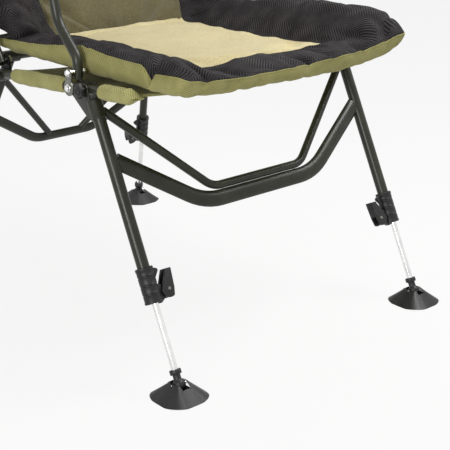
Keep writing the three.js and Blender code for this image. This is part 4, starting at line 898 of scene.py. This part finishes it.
def makeArmrest(name, side, s):
    run = Vector((0, s["eye"][0] - s["bend"][0], s["eye"][1] - s["bend"][1]))
    length = run.length
    along = run.normalized()
    turn = Matrix(((1, 0, 0, side * s["x"]), (0, along.z, along.y, s["bend"][0]),
                   (0, -along.y, along.z, s["bend"][1]), (0, 0, 0, 1)))

    # a foam grip with rounded ends, a soft crown and a seam along its underside
    steps, outer = 48, 34
    stations = []
    for i in range(outer + 1):
        t = 0.5 - 0.5 * math.cos(math.pi * i / outer)
        fromEnd = min(t, 1 - t) * s["padLength"]
        size = 0.74 + 0.26 * bulge(11, fromEnd)
        size *= 0.97 + 0.03 * math.sin(math.pi * t)
        stations.append((s["padStart"] + t * s["padLength"], size, True))
    bore = [(s["padStart"] + t * s["padLength"], 1, False) for t in (1, 0.75, 0.5, 0.25, 0)]
    rings = stations + [(stations[-1][0], 0.62, True)] + bore + [(stations[0][0], 0.62, True)]
    points, uvs = [], []
    for place, size, grip in rings:
        for k in range(steps):
            a = math.tau * k / steps
            if grip:
                seam = 1.3 * math.exp(-((math.degrees(a) - 90) / 4.5) ** 2) * smooth(size, 0.7, 0.9)
                x = math.copysign(abs(math.cos(a)) ** 0.55, math.cos(a)) * s["padWidth"] / 2 * size
                y = math.copysign(abs(math.sin(a)) ** 0.55, math.sin(a)) * s["padHeight"] / 2 * size - seam
            else:
                x, y = s["bore"] * math.cos(a), s["bore"] * math.sin(a)
            points.append((x, y, place))
            uvs.append((a * 15 * mm, place * mm))
    faces = [(i * steps + k, i * steps + (k + 1) % steps, (i + 1) % len(rings) * steps + (k + 1) % steps,
              (i + 1) % len(rings) * steps + k) for i in range(len(rings)) for k in range(steps)]
    pad = meshPiece("armrestPad_" + name, armPlace @ turn, points, faces, uvs)
    cleanMesh(pad)
    settle(smoothBy(pad, 60), "armrestPad_" + name, "armrest_" + name, "armrest_foam",
           ["armrest_pad_" + name])

    # the rod that slides in the tube, with a flat slotted eye at its end
    rod = bar(s["rod"], s["rodStart"], length - s["rodStop"], armPlace, turn, chamfer=0.6, steps=40)
    shift = (s["slotLong"] - s["slotTall"]) / 2
    ahead, back, neck = ([s["eye"][i] + along[i + 1] * reach for i in (0, 1)]
                         for reach in (-shift, shift, -s["rodStop"]))
    slot = s["slotTall"] / 2
    eye = plate([capsule(neck, back, slot + s["eyeWall"], 16), capsule(ahead, back, slot, 16)],
                side * s["x"] - s["eyeThick"] / 2, side * s["x"] + s["eyeThick"] / 2, 0.6, armPlace)
    settle(join(rod, [eye]), "armrestRod_" + name, "armrest_rod_" + name, "bright_steel",
           ["armrest_rod_" + name])


for name, side in sides:
    makeArmrest(name, side, armrest)
print("scene: armrests made")

for name, s in slings.items():
    makeSling(name, s)
print("scene: slings made")


# How a cushion's side roll rises, by the share of the half width, up to its crest
crestAt = 0.9
riseTable = [(0, 0), (0.2, 0.01), (0.38, 0.025), (0.52, 0.05), (0.6, 0.12), (0.66, 0.25), (0.75, 0.58),
             (0.83, 0.87), (crestAt, 1)]
# Its wall, from the flat underside to the outer seam: shares of the half width, and of the rise
wallShares = [0.93, 0.965, 0.99, 1.004, 1.012, 1.01, 1.0]
wallRise = [0, 0.04, 0.16, 0.36, 0.58, 0.82, 1]


def lookUp(rows, value):
    # a value read from a table of pairs in rising order
    for (a, low), (b, high) in zip(rows, rows[1:]):
        if value <= b:
            return mix(low, high, max(0, (value - a) / (b - a)))
    return rows[-1][1]


# What both cushions share: how the ends are rounded, and the gathers and pinches of the cloth
sewing = {"bow": 0.012, "cornerReach": 60, "jointReach": 30, "leanReach": 80, "panelDip": 2.6,
          "gatherStart": 12, "gatherStop": 20, "gatherApart": (17, 34), "gatherWide": 3.6,
          "pinchWide": 6, "pinchLean": 0.25, "pinchFade": 1.6, "pinchHold": 0.85}

# Heights of the side rolls' crests and of their outer seams, along the length, on the -X and +X sides.
# The seat's are in the row frame and the back's are measured from its tubes.
cushions = {
    "seat": {
        "place": Matrix.Scale(mm, 4), "body": "seat", "halfWidth": 251, "free": -400, "joint": 89,
        "under": 460, "sag": 29, "sagReach": 270, "pad": 32, "roll": 0, "rollReach": 88,
        "crest": {-1: [(-400, 503), (-360, 506), (-324, 510), (-290, 509), (-270, 505), (-192, 507),
                       (-143, 506), (-60, 501), (53, 487), (89, 482)],
                  1: [(-400, 516), (-378, 528), (-321, 534), (-262, 536), (-212, 534), (-148, 527),
                      (-20, 512), (89, 492)]},
        "edge": {-1: [(-400, 488), (-391, 495), (-355, 491), (-322, 488), (-311, 490), (-299, 498),
                      (-205, 498), (-143, 505), (-114, 500), (-34, 488), (60, 480), (112, 476)],
                 1: [(-400, 496), (-380, 499), (-250, 502), (-141, 500), (0, 487), (89, 476)]},
        "topRounding": 46, "lowRounding": 26, "jointRounding": 16, "cornerDraw": {-1: 0.05, 1: 0.11},
        "jointDraw": 0.03, "panel": 0.575, "panelStart": -284, "rows": (17, 54), "columns": (20, 15),
        "wingReach": {-1: 46, 1: 16}, "middleReach": 9, "flare": 0, "gatherReach": (22, 52),
        "gatherHold": 0.3, "cornerLift": 24,
        "seam": lambda u, y: (482 + 6 * u + 11 * u * u) if y < -250 else 478,
        "fleece": seatFleece, "sideBlack": False, "capMm": 8, "pressure": 2.4, "grow": -0.05,
        "pinches": [(-1, -318, 15, 46), (-1, -150, 3, 26), (1, -372, 12, 34), (1, -120, 3, 22)],
        "frontPinches": [(-0.84, 13, 46), (-0.12, 4, 20), (0.03, 15, 40), (0.27, 10, 44), (0.46, 8, 26),
                         (0.57, 14, 40), (0.8, 12, 40)],
        "gather": (1.5, 3.6),
    },
    "back": {
        "place": backPlace, "body": "back", "halfWidth": 246, "free": 628, "joint": 28, "under": 13.5,
        "sag": 55.95, "sagReach": 120, "pad": 23, "roll": 22, "rollReach": 170,
        "crest": {side: [(0, 50), (60, 52), (140, 50), (230, 46), (628, 46)] for side in (-1, 1)},
        "edge": {side: [(0, 30), (140, 31), (628, 33)] for side in (-1, 1)},
        "topRounding": 50, "lowRounding": 36, "jointRounding": 18, "cornerDraw": {-1: 0.1, 1: 0.1},
        "jointDraw": 0.0, "panel": 0.575, "panelStart": 540, "rows": (14, 70), "columns": (20, 15),
        "wingReach": {-1: 8, 1: 28}, "middleReach": 7, "flare": 0.07, "gatherReach": (46, 84),
        "gatherHold": 0.8, "cornerLift": 0,
        "seam": lambda u, y: (24 - 34 * (1 - u * u)) if y > 500 else (22 - 42 * (1 - u * u)),
        # the back's fleece panel takes the darker copy of the fleece, with painted shade
        "fleece": backFleecePaintedShade, "sideBlack": True, "capMm": 12, "pressure": 2.8, "grow": -0.1,
        "pinches": [(-1, 60, 9, 80), (-1, 92, 8, 90), (-1, 140, 8, 90), (-1, 205, 6, 60), (1, 45, 9, 80),
                    (1, 80, 8, 90), (1, 125, 8, 90), (1, 180, 6, 60)],
        "frontPinches": [(-0.6, 6, 30), (0.1, 5, 24), (0.65, 6, 30)],
        "gather": (5.5, 10),
    },
}


def makeCushion(name, s):
    rng = random.Random(3 if name == "seat" else 5)
    free, joint, panelStart, halfWidth = s["free"], s["joint"], s["panelStart"], s["halfWidth"]
    way = 1 if joint > free else -1
    freeRows, panelRows = s["rows"]
    panelColumns, borderColumns = s["columns"]
    rows, half = freeRows + panelRows, panelColumns + borderColumns
    along = ([mix(free, panelStart, i / freeRows) for i in range(freeRows)]
             + [mix(panelStart, joint, i / panelRows) for i in range(panelRows + 1)])
    shares = ([s["panel"] * j / panelColumns for j in range(panelColumns)]
              + [mix(s["panel"], 1, j / borderColumns) for j in range(borderColumns + 1)])
    flatSteps = half - len(wallShares) + 1
    lowShares = [wallShares[0] * k / flatSteps for k in range(flatSteps)] + wallShares
    lowRise = [0] * flatSteps + wallRise

    gathers = []
    for side in (-1, 1):
        spot = panelStart + way * s["gatherStart"]
        while way * (joint - spot) > s["gatherStop"]:
            gathers.append((side, spot, rng.uniform(*s["gather"]), rng.uniform(*s["gatherReach"])))
            spot += way * rng.uniform(*s["gatherApart"])

    def shape(y):
        # how wide, how full above and below, how deep its end roll and how far sagged, at one place
        fromFree, toJoint = way * (y - free), way * (joint - y)
        top, low = (bulge(s[key], fromFree) * bulge(s["jointRounding"], toJoint)
                    for key in ("topRounding", "lowRounding"))
        draw = s["jointDraw"] * (1 - bulge(s["jointReach"], toJoint))
        bow = s["bow"] * math.sin(math.pi * min(1, fromFree / abs(joint - free)))
        flare = s["flare"] * smooth(y, 34, 62) * (1 - smooth(y, 150, 215))
        corner = 1 - bulge(s["cornerReach"], fromFree)
        wide = {side: 1 - draw - bow + flare - s["cornerDraw"][side] * corner for side in (-1, 1)}
        roll = s["roll"] * (1 - smooth(fromFree, 0, s["rollReach"]))
        return wide, top, low, roll, mix(0.25, 1, smooth(fromFree, 0, s["sagReach"]))

    def base(u, sagShare):
        return s["under"] - s["sag"] * max(1 - u * u, 0) * sagShare

    def sideRoll(u, y, sagShare):
        # height of a side roll above the sagging middle, at that share of the half width
        side, share = 1 if u > 0 else -1, abs(u)
        crest = lookUp(s["crest"][side], y) - base(crestAt, sagShare) - s["pad"] * (1 - crestAt ** 2)
        if share <= crestAt:
            return crest * lookUp(riseTable, share)
        edge = lookUp(s["edge"][side], y) - base(1, sagShare)
        return mix(crest, edge, ((share - crestAt) / (1 - crestAt)) ** 1.6)

    def endSeam(u, i):
        return s["seam"](u, free if i < rows / 2 else joint)

    def leaned(u, y, side):
        # at the joint the cushion reaches further ahead, most of all at its wings
        ahead = way * (1 - smooth(way * (joint - y), 0, s["leanReach"]))
        return y + ahead * mix(s["middleReach"], s["wingReach"][side], smooth(abs(u), 0.6, 0.9))

    points, held, tops, lows = [], [], {}, {}

    def add(place, hold):
        points.append(place)
        held.append(hold)
        return len(points) - 1

    for i, y in enumerate(along):
        wide, top, low, roll, sagShare = shape(y)
        fromFree = way * (y - free)
        for j in range(-half, half + 1):
            side = 1 if j > 0 else -1
            u = side * shares[abs(j)]
            swell = sideRoll(u, y, sagShare) + (s["pad"] + roll) * max(1 - u * u, 0)
            x, z = u * halfWidth * wide[side], mix(endSeam(u, i), base(u, sagShare) + swell, top)
            place = leaned(u, y, side)
            hold = 0.0
            onPanelSide = abs(j) == panelColumns and i >= freeRows
            onPanelFront = i == freeRows and abs(j) <= panelColumns
            if onPanelSide or onPanelFront:
                z -= s["panelDip"]
                hold = 1.0
            if abs(j) > panelColumns and i > freeRows - 3:
                far = (abs(j) - panelColumns) * halfWidth * (1 - s["panel"]) / borderColumns
                for gatherSide, spot, deep, reach in gathers:
                    if gatherSide == side and abs(y - spot) < 10 and far < reach:
                        cut = math.exp(-((y - spot) / s["gatherWide"]) ** 2) * (1 - far / reach)
                        z -= deep * cut
                        hold = max(hold, s["gatherHold"] * cut)
            # pinches across the side roll and the end roll, deepest at the outer seam
            fromSeam = (1 - abs(u)) * halfWidth
            for pinchSide, spot, deep, reach in s["pinches"]:
                fade = 1 - fromSeam / (reach * s["pinchFade"])
                if pinchSide == side and fade > 0:
                    away = y - spot - s["pinchLean"] * way * fromSeam
                    cut = math.exp(-(away / s["pinchWide"]) ** 2) * fade
                    z -= deep * cut * 1.5
                    x -= side * deep * 0.5 * cut * fade
                    hold = max(hold, s["pinchHold"] if cut > 0.5 else 0)
            for spot, deep, reach in s["frontPinches"]:
                fade = 1 - fromFree / (reach * s["pinchFade"])
                if fade > 0 and abs(u - spot) < 0.12:
                    cut = math.exp(-((u - spot) * halfWidth / s["pinchWide"]) ** 2) * fade
                    z -= deep * cut * (1.3 if fromFree > 4 else 0.2)
                    place += way * deep * 0.35 * cut
                    hold = max(hold, s["pinchHold"] if cut > 0.5 else 0)
            if abs(j) == half or i in (0, rows):
                hold = 1.0
            tops[i, j] = add((x, place, z), hold)
    for i, y in enumerate(along):
        wide, top, low, roll, sagShare = shape(y)
        for k in range(-half, half + 1):
            if i in (0, rows) or abs(k) == half:
                lows[i, k] = tops[i, k]
                continue
            side, rise = 1 if k > 0 else -1, lowRise[abs(k)]
            u = side * mix(shares[abs(k)], lowShares[abs(k)], low)
            floor = base(min(1, abs(u)), sagShare)
            floor += s["cornerLift"] * max(0, u) ** 5 * (1 - smooth(way * (y - free), 60, 300))
            wallZ = mix(floor, points[tops[i, side * half]][2], rise)
            z = mix(endSeam(u, i), wallZ, low)
            if rise > 0.5:
                z = mix(z, wallZ, 0.5)
            hold = 1.0 if abs(k) < flatSteps and 3 < i < rows - 2 else 0.35
            lows[i, k] = add((u * halfWidth * wide[side], leaned(u, y, side), z), hold)
    # the weave follows the cloth's own width and length, measured along its surface from the middle
    weaves = []
    for grid in (tops, lows):
        weave = {grid[i, 0]: [0, 0] for i in range(rows + 1)}
        for i in range(rows + 1):
            for side in (-1, 1):
                for j in range(1, half + 1):
                    inner, outer = grid[i, side * (j - 1)], grid[i, side * j]
                    weave[outer] = [weave[inner][0] + side * math.dist(points[inner], points[outer]), 0]
        for j in range(-half, half + 1):
            for step, last in ((-1, 0), (1, rows)):
                for i in range(rows // 2 + step, last + step, step):
                    near, far = grid[i - step, j], grid[i, j]
                    weave[far][1] = weave[near][1] + step * math.dist(points[near], points[far])
        weaves.append(weave)
    faces, slots, layers = [], [], []
    for i in range(rows):
        for j in range(-half, half):
            fleece = i >= freeRows and -panelColumns <= j < panelColumns
            blackSide = s["sideBlack"] and not -flatSteps <= j < flatSteps
            slots += [0 if fleece else 1, 1 if blackSide else 2]
            layers += weaves
            for face in ((tops[i, j], tops[i, j + 1], tops[i + 1, j + 1], tops[i + 1, j]),
                         (lows[i, j], lows[i + 1, j], lows[i + 1, j + 1], lows[i, j + 1])):
                faces.append(face if way > 0 else face[::-1])
    piece = meshPiece(name + "Cushion", s["place"], points, faces)
    for material in (s["fleece"], blackTwill, oliveTwill):
        piece.data.materials.append(material)
    cloth = piece.data.uv_layers["cloth"]
    for polygon, slot, weave in zip(piece.data.polygons, slots, layers):
        polygon.material_index = slot
        polygon.use_smooth = True
        for corner, vertex in zip(polygon.loop_indices, polygon.vertices):
            cloth.data[corner].uv = [value * mm for value in weave[vertex]]
    group = piece.vertex_groups.new(name="held")
    for index, hold in enumerate(held):
        if hold:
            group.add([index], hold, "REPLACE")
    edges = [[tops[i, side * half] for i in range(rows + 1)] for side in (-1, 1)]
    loop = (edges[0] + [tops[rows, j] for j in range(-half + 1, half)] + edges[1][::-1]
            + [tops[0, j] for j in range(half - 1, -half, -1)])
    inflate(piece, s)
    return piece, loop


clothSettings = {
    "quality": 6, "mass": 0.25, "tension_stiffness": 18, "compression_stiffness": 18, "shear_stiffness": 8,
    "bending_stiffness": 0.12, "tension_damping": 8, "compression_damping": 8, "vertex_group_mass": "held",
    "pin_stiffness": 1, "use_pressure": True,
}


def inflate(piece, s, frames=20):
    start = [v.co.copy() for v in piece.data.vertices]
    modifier = piece.modifiers.new("Cloth", "CLOTH")
    settings = modifier.settings
    for key, value in clothSettings.items():
        setattr(settings, key, value)
    settings.shrink_min = s["grow"]
    settings.uniform_pressure_force = s["pressure"]
    settings.effector_weights.gravity = 0
    modifier.collision_settings.use_collision = False
    scene = bpy.context.scene
    for step in range(1, frames + 1):
        scene.frame_set(step)
    pick(piece)
    bpy.ops.object.modifier_apply(modifier=modifier.name)
    scene.frame_set(1)
    cap = s["capMm"] * mm
    for vertex, before in zip(piece.data.vertices, start):
        moved = vertex.co - before
        if moved.length > cap:
            vertex.co = before + moved * (cap / moved.length)
    piece.data.update()


def finishCushion(name, s):
    piece, loop = makeCushion(name, s)
    applyModifier(piece, "SUBSURF", levels=1, render_levels=1)
    route = [piece.data.vertices[index].co.copy() for index in loop]
    for polygon in piece.data.polygons:
        polygon.use_smooth = True
    welt = newCurve([tuple(p) for p in route], closed=True)
    welt.data.bevel_depth = 0.8 * mm
    welt.data.bevel_resolution = 3
    toMesh(welt, Matrix.Identity(4))
    smoothBy(welt, 80)
    if not welt.data.uv_layers:
        welt.data.uv_layers.new(name="cloth")
    settle(piece, name + "Cushion", s["body"], "cushion_fabric", [name + "_cushion"])
    settle(welt, name + "CushionWelt", s["body"], "cushion_fabric",
           material=blackTwill if s["sideBlack"] else oliveTwill)


for name, s in cushions.items():
    finishCushion(name, {**sewing, **s})
    print("scene:", name, "cushion made")
